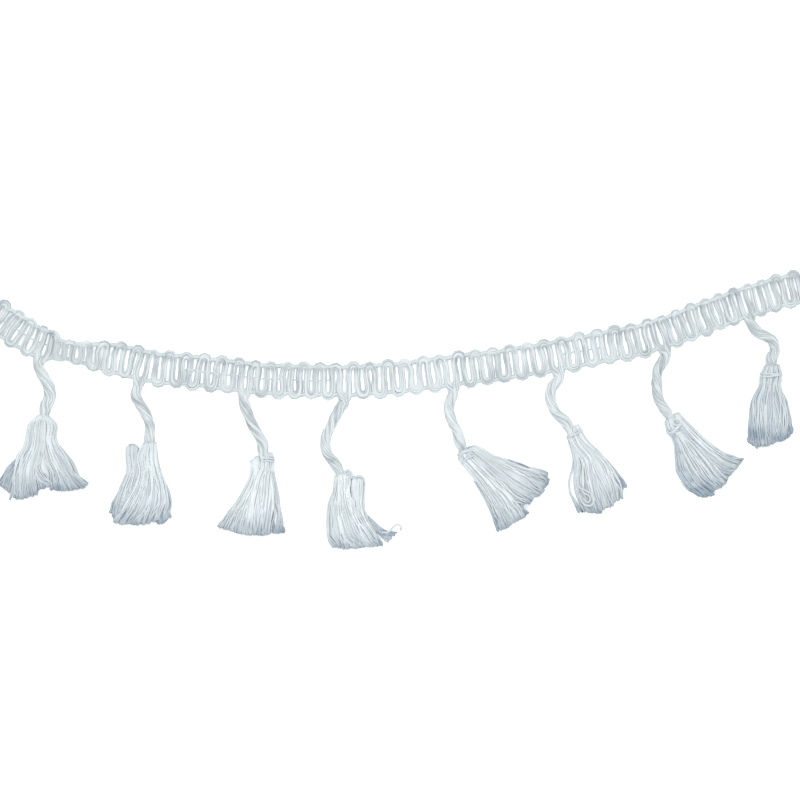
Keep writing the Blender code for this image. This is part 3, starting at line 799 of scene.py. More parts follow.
def drop_run(number):
    """Down one strand, round the eye and up the other strand.

    A strand's centre is the rope's centre + offset x (-cos(turn) side + sin(turn) up).
    """
    centre, side, turn, closing, loose = rope_course(number)
    start_offset = leg_spacing(number * LOOPS_PER_TASSEL) / 2
    offset = start_offset + (ROPE_OFFSET - start_offset) * closing + loose
    away = -np.cos(turn) * side + np.sin(turn) * UP
    face_turn = turn - math.pi / 2 * (1 - closing)
    face = -np.cos(face_turn) * side + np.sin(face_turn) * UP
    eye, outward = eye_run(number, turn[-1, 0] / math.pi)
    points = np.concatenate([centre + offset * away, eye, (centre - offset * away)[::-1]])
    faces = np.concatenate([face, outward, face[::-1]])
    leg = np.array(LEG_SHAPE) * cord_size(number * LOOPS_PER_TASSEL)
    strand = leg + (np.array(ROPE_SHAPE) - leg) * closing
    shapes = np.concatenate([strand, np.tile(EYE_SHAPE, (len(eye), 1)), strand[::-1]])
    return points, faces, shapes, np.full(len(points), OFF_HEADING)


drop = drop_run(0)[0]
print("the first drop takes", round(lengths_along(drop)[-1]), "mm of cord")

# %% The whole cord
def cord_course(first, last):
    """The cord from one lower loop to another: points, facings, shapes and places across."""
    runs = []
    for loop in range(first, last + 1):
        number, remainder = divmod(loop, LOOPS_PER_TASSEL)
        if remainder == 0 and 0 <= number < len(DROPS):
            runs.append(drop_run(number))
        else:
            runs.append(turn_run(loop, upper=False))
        if loop < last:
            runs.append(turn_run(loop + 0.5, upper=True))
    return [np.concatenate(values) for values in zip(*runs)]


whole_cord = cord_course(FIRST_LOOP, LAST_LOOP)[0]
print("the whole cord is", round(lengths_along(whole_cord)[-1] * MM, 2), "m long")

# %% [markdown]
# ## The cord as a bundle of yarns
# Seen close, the cord isn't a smooth tube. It is sixteen soft yarns side by side round a core,
# hardly twisted, which wander a little over each other. So a yarn's line is the cord's line plus
# a place on an oval, and its angle on the oval drifts along the cord. A bump on one smooth tube
# would be simpler, but its outline would stay too clean. The yarns carry painted shade in the
# crease under the upper turns, painted light where the band is turned up away from the lamps,
# and a painted pool of light towards the trim's middle.

# %% The cord's measures
YARNS_IN_CORD = 16
YARN_RADIUS = 0.31                 # mm
CORE_INSET = 0.27                  # mm from the cord's outside to its core
# Painted shade: the core is much deeper than the yarns, so that it shows as shadow in the gaps between them.
CORE_PAINTED_SHADE = 0.15
STATION = 1.05                     # mm of cord between rings
PINCHED = (4.6, 0.1)               # places across the heading that the stitches draw in
PINCH_DEPTH = 0.1
PINCH_WIDTH = 0.8                  # mm
WANDER = (0.4, 0.16)               # radians that a yarn's angle drifts, slowly and quickly
WANDER_PACE = (9, 24)              # mm of cord for a radian of a slow drift, least and most
QUICK_PACE = 4.1                   # and for a quick one
SWELL = 0.07                       # share that a yarn moves out and in
SWELL_PACE = 6.3                   # mm of cord for a radian of that
YARN_FULLNESS = 1.3                # lets yarns swell into the gaps between them
YARN_SHADES = (0.45, 0.95)         # of the deepest and of the palest yarn
CLOUDY_SHADE = 0.3                 # how much a yarn's shade changes along it
CLOUDY_PACE = 0.25                 # and how fast, as a share of its wander's pace
# Painted shadow in the crease under the upper turns:
PAINTED_BEAD_SHADOW = (4.3, 0.8, 0.45)      # the crease's place across, its reach and its strength
# Painted light where the band is turned up and faces away from the lamps:
TURNED_UP_PAINTED_LIGHT = 1.6
# A painted pool of light near the trim's middle:
PAINTED_LIGHT_POOL = (20.0, 60.0, 0.24)   # its x, its reach and its strength
# Offsets that pool, so the cord away from the middle is a little deeper:
DEEPER_ALL_ROUND = 0.03
print("the cord has", YARNS_IN_CORD, "yarns of", 2 * YARN_RADIUS, "mm")

# %% The bare cord
def cord_frames(points, faces):
    """Unit vectors across the cord: tangent x facing, turned over wherever it would flip."""
    tangents = unit(np.gradient(points, axis=0))
    wide = unit(np.cross(tangents, faces))
    flips = np.sign((wide[1:] * wide[:-1]).sum(-1))
    return wide * np.concatenate([[1.0], np.cumprod(flips)])[:, None]


def pinch(across):
    """The share of its size that the cord keeps under the stitches: 1 - depth exp(-(d / width)^2)."""
    gap = across[:, None] - np.array(PINCHED)
    return 1.0 - PINCH_DEPTH * np.exp(-(gap / PINCH_WIDTH) ** 2).sum(axis=1)


def painted_light_along(x, across, facing_up):
    """What the cord's place adds to its shade: 1.6 (1 - facing up) + pale middle - crease - 0.03.

    All of it is painted: light where the band is turned up away from the lamps, a pool of light
    at the middle, and shadow in the crease under the beads. The middle and the crease are
    strength x exp(-((where it is - place) / reach)^2).
    """
    place, reach, strength = PAINTED_BEAD_SHADOW
    painted_bead_shadow = strength * np.exp(-((across - place) / reach) ** 2)
    turned_up = np.where(across > OFF_HEADING / 2, 1.0 - facing_up, 0.0)
    place, reach, strength = PAINTED_LIGHT_POOL
    painted_light_pool = strength * np.exp(-((x - place) / reach) ** 2)
    return TURNED_UP_PAINTED_LIGHT * turned_up - painted_bead_shadow + painted_light_pool - DEEPER_ALL_ROUND


def cord_form(first, last):
    """The bare cord at even stations: lengths, centres, frames, half sizes and added shade."""
    # The added shade is painted light and shade, by the cord's place.
    points, faces, shapes, across = cord_course(first, last)
    facing_up = np.where(across > OFF_HEADING / 2, faces[:, 2], 1.0)
    knots = lengths_along(points)
    centre, at = smooth_through(points - ORIGIN, int(knots[-1] / STATION))
    rows = np.column_stack([cord_frames(points, faces), shapes, across, facing_up])
    rows = np.stack([np.interp(at, knots, row) for row in rows.T], axis=-1)
    wide, shapes, across, facing_up = rows[:, :3], rows[:, 3:5], rows[:, 5], rows[:, 6]
    tangents = unit(np.gradient(centre, axis=0))
    wide = unit(wide - (wide * tangents).sum(-1, keepdims=True) * tangents)
    half_width = CORD_WIDTH / 2 * shapes[:, 0] * pinch(across)
    half_height = CORD_THICKNESS / 2 * shapes[:, 1] * pinch(across)
    painted_light_added = painted_light_along(centre[:, 0], across, facing_up)
    return at, centre, wide, np.cross(wide, tangents), half_width, half_height, painted_light_added


print("two loops of the cord have", len(cord_form(20, 22)[0]), "rings")

# %% Yarns round a core
CORD_SEED = 7
rng = np.random.default_rng(CORD_SEED)


def cord_surfaces(first, last):
    """The core and the yarns. A yarn is at half width cos(angle) across + half height sin(angle)."""
    at, centre, wide, high, half_width, half_height, painted_light_added = cord_form(first, last)
    core = tubes(centre[None], half_width - CORE_INSET, half_height - CORE_INSET, sides=10,
                 frames=(wide[None], high[None]), shade=CORE_PAINTED_SHADE)
    start = np.arange(YARNS_IN_CORD) * 2 * math.pi / YARNS_IN_CORD
    phase = rng.uniform(0, 2 * math.pi, (2, YARNS_IN_CORD, 1))
    pace = rng.uniform(*WANDER_PACE, (YARNS_IN_CORD, 1))
    angle = (start[:, None] + WANDER[0] * np.sin(at / pace + phase[0])
             + WANDER[1] * np.sin(at / QUICK_PACE + phase[1]))
    swell = 1.0 + SWELL * np.sin(at / SWELL_PACE + phase[1])
    paths = (centre + (np.cos(angle) * swell * (half_width - YARN_RADIUS))[..., None] * wide
             + (np.sin(angle) * swell * (half_height - YARN_RADIUS))[..., None] * high)
    shade = rng.uniform(*YARN_SHADES, (YARNS_IN_CORD, 1))
    shade = shade + CLOUDY_SHADE * np.sin(at / (CLOUDY_PACE * pace) + phase[0])
    radius = YARN_RADIUS * np.sqrt(half_width / half_width.max() * YARN_FULLNESS)
    # Painted shade: each yarn is paler on its side away from the cord's middle, deeper in the creases between
    # yarns.
    outward = unit(paths - centre)
    return [core, tubes(paths, radius, sides=6, shade=shade + painted_light_added, outward=outward)]


PIECE_ENDS = ((FIRST_LOOP, 9), (9, 21), (21, 33), (33, LAST_LOOP))
for part, (first, last) in enumerate(PIECE_ENDS, start=1):
    make_piece(f"weft_cord_{part}", cord_surfaces(first, last), cord_cotton, "cotton_cord", "weft_cord")

# %% [markdown]
# ## The binding
# Binding yarn runs along the heading and holds the loops side by side. Near both edges it is
# thick and lies low between the legs, so it closes the ends of the slots like the rungs of a
# ladder. At mid height there is only a fine thread, which rides over the legs and shows here and
# there. Chain stitches could be drawn loop by loop, but at this size they look like one thread
# that swells over the legs, and a thread is far simpler.

# %% Rows of binding
STEPS_PER_LOOP = 20
DIP = -0.2                         # mm from the cord's middle to a row's, between the legs
HUMP_POWER = 0.7                   # under 1 it makes the humps broad and the dips narrow
SLOW_WAVE = (0.15, 2.3)            # mm that a row wanders across, and radians for each loop
LEG_WAVE = (0.12, 4 * math.pi)
BINDING_START, BINDING_END = FIRST_LOOP + 0.3, LAST_LOOP - 0.3
# Place across, first loop, last loop, the thread's radius, its top over the cord's middle, its shade
STITCHES = (
    (5.5, BINDING_START, BINDING_END, 0.85, 0.75, 0.4),
    # The lower row is a little deeper than the others: painted shade in the notches between the lower turns.
    (-5.5, BINDING_START, BINDING_END, 0.8, 0.6, 0.3),
    (0.1, -3.4, 0.2, 0.26, 0.9, 0.4),
    (0.1, 8.4, 10.8, 0.42, 1.0, 0.4),
    (0.1, 10.8, 17.2, 0.26, 0.9, 0.4),
    (0.1, 30.2, 32.7, 0.3, 0.9, 0.4),
)


def stitch_row(across, first, last, radius, proud, shade):
    """One row of binding, as part of the band. A loop has two legs, so the row's height over the
    cord's middle is dip + (top - dip) |sin(2 pi loop)|^0.7."""
    loop = np.linspace(first, last, int((last - first) * STEPS_PER_LOOP))
    place = across + SLOW_WAVE[0] * np.sin(loop * SLOW_WAVE[1]) + LEG_WAVE[0] * np.sin(loop * LEG_WAVE[1])
    middle = heading_points(loop, place) - ORIGIN
    hump = np.abs(np.sin(2 * math.pi * loop)) ** HUMP_POWER
    top = proud - radius
    dip = min(top, DIP)
    front = middle + heading_normals(loop) * (dip + (top - dip) * hump)[:, None]
    return tubes(front[None], radius, sides=8, shade=shade)


rows = [stitch_row(*stitches) for stitches in STITCHES]
make_piece("binding_stitches", rows, thread_cotton, "cotton_cord")

# %% [markdown]
# ## The tassels
# A tassel is a hank of yarn folded over the end of its drop. It falls open in a few locks, and
# each lock is drawn by lines across it: the first at the fold, the last at the tips. A yarn keeps
# nearly the same share of every line's width, so it only needs that share and its layer. Blender's
# hair would fall more freely, but it couldn't be told to lie in just these locks.
#
# Each row below is one lock: how high its top lies at the fold and at the tips, how far its fold
# stands behind the first line, how far its tips swell beyond the last line, its tint, which is a
# blue-grey painted shade, deepest on the low locks that lie under others, and its lines as
# (left x, left y, right x, right y). A thin lock is one layer of yarn.

# %% The locks of the four left tassels
LEFT_LOCKS = (
    (                              # tassel 1
        dict(top=(6.6, 3.8), fold=0.9, swell=3.4, shadow_tint=0.1,
             lines=((-144.9, -15.2, -142.1, -14.8), (-148.4, -18.4, -142.2, -18), (-149.4, -22, -142.2, -22),
                    (-149.9, -26.4, -142.6, -27), (-153.4, -32, -143.6, -33), (-154.8, -38, -144.6, -38.5),
                    (-155.8, -45.4, -144.2, -44.2))),
        dict(top=(4.2, 2.2), fold=0, swell=0.5, shadow_tint=0.75,
             lines=((-150, -27, -145, -27), (-153.4, -32, -149, -34), (-157.4, -36.5, -151, -40),
                    (-160.6, -42.4, -152, -47))),
        dict(top=(6.6, 3.8), fold=0.8, swell=1.8, shadow_tint=0.12,
             lines=((-142.3, -14.8, -140.0, -15.4), (-142.3, -18, -136.9, -18.0),
                    (-142.3, -20.4, -136.4, -20), (-142.4, -23.5, -137.5, -23),
                    (-142.8, -28, -136.0, -27), (-142.2, -33, -132.8, -31.6),
                    (-139.9, -38, -129.8, -37.5), (-139.6, -43.4, -124.8, -42.3))),
        dict(top=(3.8, 2.0), fold=0, swell=0.4, shadow_tint=0.6,
             lines=((-141, -27, -135.8, -27), (-139, -36, -130, -35), (-139.6, -45.0, -126, -43.8))),
        dict(top=(4.6, 3.0), fold=0, swell=0.3, shadow_tint=0.3,
             lines=((-146.4, -31, -144.4, -31), (-146.6, -36, -143.4, -36.6), (-145.6, -40.6, -141.0, -39.4),
                    (-143.2, -43.8, -138.4, -42.0))),
    ),
    (                              # tassel 2
        dict(top=(5.8, 2.3), fold=1.5, swell=1.6, shadow_tint=0.26,
             lines=((-109.4, -28.0, -104.8, -28.0), (-109.5, -31, -105.0, -31.5), (-108.9, -36, -104.6, -37),
                    (-112, -44, -106, -45), (-114.8, -50, -106, -53), (-116, -54, -105, -58.4))),
        dict(top=(6.8, 4.2), fold=0.9, swell=2.2, shadow_tint=0.08,
             lines=((-102.6, -26.4, -97.3, -26.0), (-104.4, -29.4, -96.9, -28.8), (-104.9, -33, -96.8, -32.4),
                    (-104.3, -37, -95.9, -36.5), (-106, -43, -93.8, -42), (-110.5, -51, -92.6, -50),
                    (-114.6, -57.2, -94.4, -55.6))),
        dict(top=(3.8, 2.4), fold=0, swell=0.6, shadow_tint=0.6,
             lines=((-99, -31, -97, -31), (-98, -38, -95.4, -38), (-97, -45, -92.4, -45),
                    (-96, -52, -91.6, -51), (-97, -58, -91.7, -55.5))),
    ),
    (                              # tassel 3
        dict(top=(5.8, 2.8), fold=0.9, swell=1.0, shadow_tint=0.08,
             lines=((-58.8, -32.6, -56.4, -31.8), (-59.6, -34, -55.8, -34), (-59.3, -36.5, -55.3, -36.5),
                    (-60.4, -40, -55, -39.5), (-63.4, -46, -56, -46), (-68.2, -53, -58, -55),
                    (-73, -59.2, -57, -62.6))),
        dict(top=(6.8, 4.0), fold=1.1, swell=0.8, shadow_tint=0.0,
             lines=((-54.8, -31.0, -51.0, -30.2), (-55.8, -33, -50.3, -32.4), (-55.8, -36, -50.5, -36),
                    (-58, -40, -50.5, -39.5), (-60, -46, -50.1, -45.5), (-61.6, -54, -50.0, -52),
                    (-62, -62.2, -51.4, -61.8))),
        dict(top=(5.6, 3.0), fold=0, swell=0.2, shadow_tint=0.35,
             lines=((-52, -37, -50.5, -37), (-51.0, -42, -49.4, -42), (-49.8, -49, -48.2, -49),
                    (-48.8, -56, -47.2, -56), (-50.5, -61.8, -46.3, -61.4))),
        dict(top=(2.6, 1.4), fold=0, swell=0.2, shadow_tint=0.9,
             lines=((-56, -48, -51, -48), (-57, -55, -50.6, -55), (-58.5, -61.6, -49.8, -61.2))),
    ),
    (                              # tassel 4
        dict(top=(6.8, 4.2), fold=0.9, swell=1.2, shadow_tint=0.0,
             lines=((-26.0, -39.6, -20.6, -37.4), (-26.3, -42, -19.6, -40.6), (-26.6, -45, -20, -45),
                    (-28.6, -50, -18, -51), (-29.1, -58, -14.8, -57), (-28.8, -63.5, -11.4, -62.5),
                    (-26.8, -67.2, -8.4, -66.0))),
        dict(top=(6.4, 3.4), fold=1.2, swell=0.4, shadow_tint=0.08,
             lines=((-19.5, -40.2, -14.1, -41.2), (-19.4, -44, -14.1, -44.5), (-18.5, -50, -14.4, -51),
                    (-17, -57, -12.8, -56.6), (-14, -63, -9.4, -62), (-12, -66.6, -7.2, -66))),
        dict(top=(3.6, 1.8), fold=0, swell=0.5, shadow_tint=0.65,
             lines=((-22, -50, -16, -50), (-22, -58, -14, -58), (-22, -67.3, -7, -66.6))),
        dict(top=(3.0, 1.4), fold=0, swell=0.2, shadow_tint=0.6, thin=True,
             lines=((-16.0, -49, -14.4, -49), (-15.2, -54, -13.3, -54), (-12.6, -58.2, -9.6, -57.2),
                    (-8.4, -62.4, -5.6, -61.0), (-4.8, -65.4, -1.2, -62.0))),
    ),
)
print([len(locks) for locks in LEFT_LOCKS], "locks in the left tassels")

# %% The locks of the four right tassels
RIGHT_LOCKS = (
    (                              # tassel 5
        dict(top=(6.4, 3.4), fold=0.8, swell=0.7, shadow_tint=0.0,
             lines=((23.4, -30.2, 26.6, -28.8), (23.6, -32.6, 28.2, -30.8), (25.8, -35.4, 30.4, -33),
                    (30.2, -41, 36.6, -38.5), (35.8, -50, 44.6, -46), (38.4, -56, 49.0, -51),
                    (40.2, -60.6, 51.2, -54.0))),
        dict(top=(6.8, 4.0), fold=1.2, swell=3.4, shadow_tint=0.0,
             lines=((26.6, -29.2, 30.4, -27.0), (28.4, -31, 33.4, -28.2), (30.4, -33, 36, -30),
                    (35, -38, 42, -32), (40.4, -44, 49, -34.8), (44.6, -48.6, 54.6, -36.2),
                    (48.6, -50.4, 58.6, -38.0))),
        dict(top=(3.8, 2.2), fold=0, swell=0.6, shadow_tint=0.8,
             lines=((38, -36, 43, -32.4), (47, -42, 52, -36), (53, -46.2, 60, -41.0))),
        dict(top=(3.4, 1.8), fold=0, swell=0.2, shadow_tint=0.55, thin=True,
             lines=((29.6, -41, 31, -41), (34.6, -50, 35.6, -50), (37.1, -56, 38.0, -56),
                    (38.9, -60.8, 40.4, -60.8))),
    ),
    (                              # tassel 6
        dict(top=(5.0, 2.6), fold=0, swell=0.4, shadow_tint=0.3,
             lines=((67.2, -25.0, 70, -25.5), (68.4, -28.5, 71, -30), (69.6, -34, 72.4, -35),
                    (69.5, -40, 71.8, -40), (69.8, -45, 73.5, -46), (73.6, -53.4, 80, -53.6))),
        dict(top=(6.8, 4.0), fold=1.0, swell=2.0, shadow_tint=0.0,
             lines=((67.4, -20.8, 71.2, -18.8), (66.9, -23.4, 72.4, -20.8), (68.2, -27, 74.4, -24.2),
                    (72.4, -33.5, 80.6, -30.5), (72.9, -40, 84.6, -36), (73.2, -46, 88.0, -42.5),
                    (75, -53.0, 88.6, -47.2))),
        dict(top=(3.4, 1.6), fold=0, swell=0.0, shadow_tint=0.4, thin=True,
             lines=((69.4, -32, 70.2, -32), (68.6, -36.5, 69.2, -36.5), (67.5, -41, 68.2, -41),
                    (67.7, -45, 68.4, -45), (69.4, -49.5, 70.4, -49.5), (71.2, -53.6, 72.8, -53.6))),
        dict(top=(3.8, 2.2), fold=0, swell=0.3, shadow_tint=0.65,
             lines=((76, -28, 78.6, -28.6), (81, -34, 84, -34.2), (84.6, -39.6, 87.7, -38.8),
                    (87, -45, 90.3, -43.2))),
    ),
    (                              # tassel 7
        dict(top=(5.4, 2.6), fold=0.8, swell=0.4, shadow_tint=0.55,
             lines=((106.2, -19.8, 108.8, -20.6), (109.4, -25.6, 112, -25), (109.9, -31, 114, -31),
                    (110.3, -36, 116, -37), (113.6, -42.6, 119.5, -42), (120.2, -47.8, 125.5, -46.4))),
        dict(top=(6.6, 3.8), fold=0.8, swell=1.4, shadow_tint=0.22,
             lines=((105.9, -17.4, 108.9, -15.2), (106.6, -20.8, 110.6, -18.6), (109.8, -24.4, 113.8, -22.4),
                    (111.4, -30, 119.4, -27.2), (114.4, -37, 125.8, -33.8), (117.6, -42, 129.8, -38.6),
                    (122.4, -46.2, 131.2, -39.8))),
        dict(top=(6.8, 4.0), fold=1.1, swell=0.8, shadow_tint=0.12,
             lines=((108.4, -15.8, 111.3, -13.9), (110.2, -18.8, 113.8, -16.6), (113, -22.5, 116.8, -19.6),
                    (118, -28, 122.5, -25), (124, -34.5, 129, -29.6), (127.5, -38.4, 133, -31.4),
                    (130.8, -39.4, 136.6, -32.2))),
    ),
    (                              # tassel 8
        dict(top=(4.2, 2.2), fold=0, swell=0.3, shadow_tint=0.65,
             lines=((143.7, -3, 146, -3), (140.6, -9, 144, -9), (139.6, -17, 142.5, -17),
                    (139.2, -25.0, 142.8, -27.6))),
        dict(top=(6.8, 4.0), fold=1.0, swell=1.0, shadow_tint=0.36,
             lines=((145.4, 4.6, 151.4, 4.8), (143.6, 0.8, 152.6, 1.2), (143.5, -3, 151.8, -2.5),
                    (141.0, -8, 153.6, -8), (140.4, -14, 154.8, -14), (140.6, -20, 155.0, -19.5),
                    (142, -27.0, 154.0, -24))),
        dict(top=(4.0, 2.2), fold=0, swell=0.2, shadow_tint=0.65,
             lines=((149, -3, 151.6, -3.5), (152, -9, 154.9, -9.5), (153, -16, 156.2, -16),
                    (154, -24, 156.9, -21.4))),
    ),
)
LOCKS = LEFT_LOCKS + RIGHT_LOCKS
print([len(locks) for locks in RIGHT_LOCKS], "locks in the right tassels")

# %% [markdown]
# ## Where a yarn lies in its lock
# In the plane a yarn follows its share of the lines. Its height comes from the lock's thickness,
# which is rounded off towards both sides, as any bundle is. Before the first line it comes out of
# the fold, where the hank bends back over the cord, and at its tip it rolls under towards the
# table. These places are knots, and a smooth line goes through them.

# %% Yarns across the lines of a lock
LOW_HEIGHT = 0.4                   # mm, of the lowest yarns' middles
DRIFT_WAVE = 5.0                   # radians that a drift swings along the lock
DRIFT_SCATTER = 90.0               # sets the swings of two yarns apart
SINKING = 1.3                      # over 1, a lock's top sinks mostly near its tips
UNDERCUT = 0.3                     # how far its underside is raised at the fold, as a share
SIDE_ROUNDING = 0.8                # under 1 it leaves a lock some thickness at its sides


def flat_places(lock, share, drift, reach):
    """A lock's yarns in the plane at each of its lines, and the ways that they run.

    left + (right - left) x share, where the share drifts on along the lock. The tips lie
    reach + 4 swell share (1 - share) beyond the last line.
    """
    lines = np.array(lock["lines"], float)
    left, right = lines[:, None, :2], lines[:, None, 2:]
    part = np.linspace(0.0, 1.0, len(lines))[:, None]
    swing = np.sin(part * DRIFT_WAVE + drift * DRIFT_SCATTER)
    here = np.clip(share + drift * part * swing, 0.0, 1.0)
    flat = left + (right - left) * here[..., None]
    ahead = unit(np.gradient(flat, axis=0))
    flat[-1] += ahead[-1] * (reach + lock["swell"] * 4 * share * (1 - share))[:, None]
    return flat, ahead


def lock_heights(lock, share, layer):
    """middle + (layer - 1/2) x thickness x sqrt(1 - 0.8 (2 share - 1)^2), at each line."""
    part = np.linspace(0.0, 1.0, len(lock["lines"]))[:, None]
    top = lock["top"][0] + (lock["top"][1] - lock["top"][0]) * part**SINKING
    bottom = LOW_HEIGHT + UNDERCUT * lock["top"][0] * (1 - part) ** 2
    rounding = np.sqrt(1.0 - SIDE_ROUNDING * (2 * share - 1) ** 2)
    return (top + bottom) / 2 + (layer - 0.5) * (top - bottom) * rounding


top_yarn = lock_heights(LOCKS[0][0], np.array([0.5]), np.array([1.0])).ravel()
print("the first lock's top sinks from", round(top_yarn[0], 1), "to", round(top_yarn[-1], 1), "mm")

# %% Folds and rolled tips
INSIDE_SHARE = 0.4                 # of the way from the first line to the crown
INSIDE_ON = 1.5                    # mm along the lock
INSIDE_HEIGHT = (3.0, 0.6)         # mm of the lowest layer, and more for the highest
BACK_HEIGHT = (0.8, 0.7)           # the same, added to a share of the lock's height
BACK_SHARE = 0.55
LEAST_ARCH = 0.02                  # so that the fold doesn't vanish at a lock's sides
# Stations of a tip as it rolls under: how far on, in mm, and how much of its height is left
ROLL = ((0.4, 0.9), (0.6, 0.6), (0.3, 0.25), (-1.3, 0.0))


def fold_knots(lock, crown, start, ahead, height, share, layer):
    """Places inside the fold and on its back, for yarns that start at a lock's first line.

    The back stands behind the line by fold x sqrt(1 - (2 share - 1)^2) x (1 + layer) / 2.
    """
    arch = np.sqrt(np.maximum(1.0 - (2 * share - 1) ** 2, LEAST_ARCH)) * lock["fold"]
    back = start - ahead * (arch * (0.5 + 0.5 * layer))[:, None]
    inside = start * (1 - INSIDE_SHARE) + np.array(crown) * INSIDE_SHARE + ahead * INSIDE_ON
    inside_height = INSIDE_HEIGHT[0] + INSIDE_HEIGHT[1] * layer
    back_height = height * BACK_SHARE + BACK_HEIGHT[0] + BACK_HEIGHT[1] * layer
    return [raised(inside, inside_height), raised(back, back_height)]


def rolled_tips(end, ahead, height):
    """Places where the tips roll under: low + (height - low) x what is left of the height."""
    return [raised(end + ahead * on, LOW_HEIGHT + (height - LOW_HEIGHT) * left_over)
            for on, left_over in ROLL]


def lock_knots(lock, crown, share, layer, drift, reach):
    """Places of a lock's yarns, as knots x yarns x 3, from inside the fold to the rolled tips."""
    flat, ahead = flat_places(lock, share, drift, reach)
    height = lock_heights(lock, share, layer)
    before = fold_knots(lock, crown, flat[0], ahead[0], height[0], share, layer) if lock["fold"] else []
    return np.stack(before + list(raised(flat, height)) + rolled_tips(flat[-1], ahead[-1], height[-1]))


def at_lines(lock, knots):
    """The part of a lock's knots that lies at its lines, without the fold's and the tips'."""
    first = 2 if lock["fold"] else 0
    return knots[first:first + len(lock["lines"])]


print("a yarn has", len(ROLL), "knots at its tip, and 2 more where it is folded")

# %% [markdown]
# ## The yarns of a hank
# No two yarns of a hank lie alike, but they aren't scattered singly either. Soft cotton clings, so
# four or five neighbours keep together as a clump: they drift the same way, reach the same length
# and have nearly one shade. A few random numbers for each clump and smaller ones for each yarn
# give that look. Wholly even yarns would look like a comb, and wholly random ones like straw.

# %% Yarns abreast
YARN_SPACING = 0.44                # mm between yarns where a lock is widest
LAYERS = 2
CLUMP = 4.6                        # yarns abreast in a clump
CLUMP_NUMBERS = (3, 70)            # three numbers each, for more clumps than any lock has
UPPER_CLUMPS = 30                  # where the clumps of the upper layer begin
SHARE_SCATTER = 0.8                # in yarns abreast
LAYER_SCATTER = 0.35
CLUMP_DRIFT = 2.4                  # in yarns abreast
YARN_DRIFT = 1.6
ANY_PHASE = (0.0, 6.3)             # radians, once round


def lock_widths(lock):
    """The lengths of a lock's lines."""
    lines = np.array(lock["lines"], float)
    return np.linalg.norm(lines[:, 2:] - lines[:, :2], axis=1)


def yarns_abreast(lock):
    """A lock's greatest width / spacing, and two at least."""
    return max(int(lock_widths(lock).max() / YARN_SPACING), 2)


def hank(lock, draw):
    """Shares and layers of a lock's yarns, their drifts, and their clumps' second and third numbers.

    The yarns of the upper layer lie half a yarn further on than those below.
    """
    abreast = yarns_abreast(lock)
    layers = 1 if "thin" in lock else LAYERS
    row = np.repeat(np.arange(layers), abreast)
    layer = row / max(layers - 1, 1)
    share = (np.tile(np.arange(abreast), layers) + 0.25 + 0.5 * (row % 2)) / abreast
    count = len(share)
    clump = (share * abreast / CLUMP + draw.uniform(0, 1)).astype(int) + row * UPPER_CLUMPS
    common = draw.normal(0.0, 1.0, CLUMP_NUMBERS)[:, clump]
    share = np.clip(share + draw.normal(0.0, SHARE_SCATTER / abreast, count), 0.01, 0.99)
    layer = np.clip(layer + draw.uniform(-LAYER_SCATTER, LAYER_SCATTER, count), 0.0, 1.0)
    drift = (common[0] * CLUMP_DRIFT + draw.normal(0.0, YARN_DRIFT, count)) / abreast
    return share, layer, drift, common[1], common[2]


widest = max((lock for locks in LOCKS for lock in locks), key=yarns_abreast)
print("the widest lock has", yarns_abreast(widest), "yarns abreast")

# %% Tips and swings
LOBE = 1.3                         # mm of the last line for a radian of its scallops
TIPS_BACK = 0.35                   # mm that the tips stay back from the last line
CLUMP_REACH = 0.1                  # mm, and so are the three below
LOBE_REACH = 0.25
YARN_REACH = 0.05
LOW_LAYER_BACK = 0.25
MOST_REACH = 0.4
YARN_STEPS = 26
SWING = (0.05, 0.42)               # mm that a yarn's tip swings sideways, least and most
SWING_GROWTH = 1.5                 # over 1, it swings mostly near its tip
SWING_PACE = (1.0, 1.9)            # mm of yarn for a radian of its swing


def tip_reach(lock, share, layer, clump, draw):
    """How far tips lie beyond the last line: clump - back + lobe sin(place) + own - low (1 - layer)."""
    lobes = np.sin(share * lock_widths(lock)[-1] / LOBE + draw.uniform(*ANY_PHASE))
    reach = (CLUMP_REACH * clump - TIPS_BACK + LOBE_REACH * lobes
             + draw.uniform(-YARN_REACH, YARN_REACH, len(share)) - LOW_LAYER_BACK * (1 - layer))
    return np.minimum(reach, MOST_REACH)


def yarn_lines(lock, crown, share, layer, drift, reach):
    """Smooth lines (yarn, step, 3), the stations of their steps and the stations of their knots."""
    places = lock_knots(lock, crown, share, layer, drift, reach) - ORIGIN
    strides = np.linalg.norm(np.diff(places, axis=0), axis=-1).mean(1)
    stations = np.concatenate([[0.0], np.cumsum(strides)])
    paths, at = smooth_through(places, YARN_STEPS, stations)
    return paths.transpose(1, 0, 2), at, stations


def swung(paths, at, draw):
    """Lines moved sideways by swing x along^1.5 x sin(station / pace + phase)."""
    one_each = (len(paths), 1)
    swing = draw.uniform(*SWING, one_each) * (at / at[-1])**SWING_GROWTH
    wave = np.sin(at / draw.uniform(*SWING_PACE, one_each) + draw.uniform(*ANY_PHASE, one_each))
    return paths + (swing * wave)[..., None] * np.cross(unit(np.gradient(paths, axis=1)), UP)


print("a yarn's tip swings up to", SWING[1], "mm sideways")

# %% [markdown]
# ## From yarns to a lock
# A yarn is as thick as the lock leaves room for, so a lock closes up at its neck and its yarns
# fray a little at their tips. Where the tips roll under, a blue-grey painted shade grows on them.
# Between the yarns one must not see through to the table: a soft mass, drawn by the same lines,
# fills the lock inside them, deeper and bluer than the yarns as painted shade between them. More
# layers of yarn would fill it too, but nobody would see them.

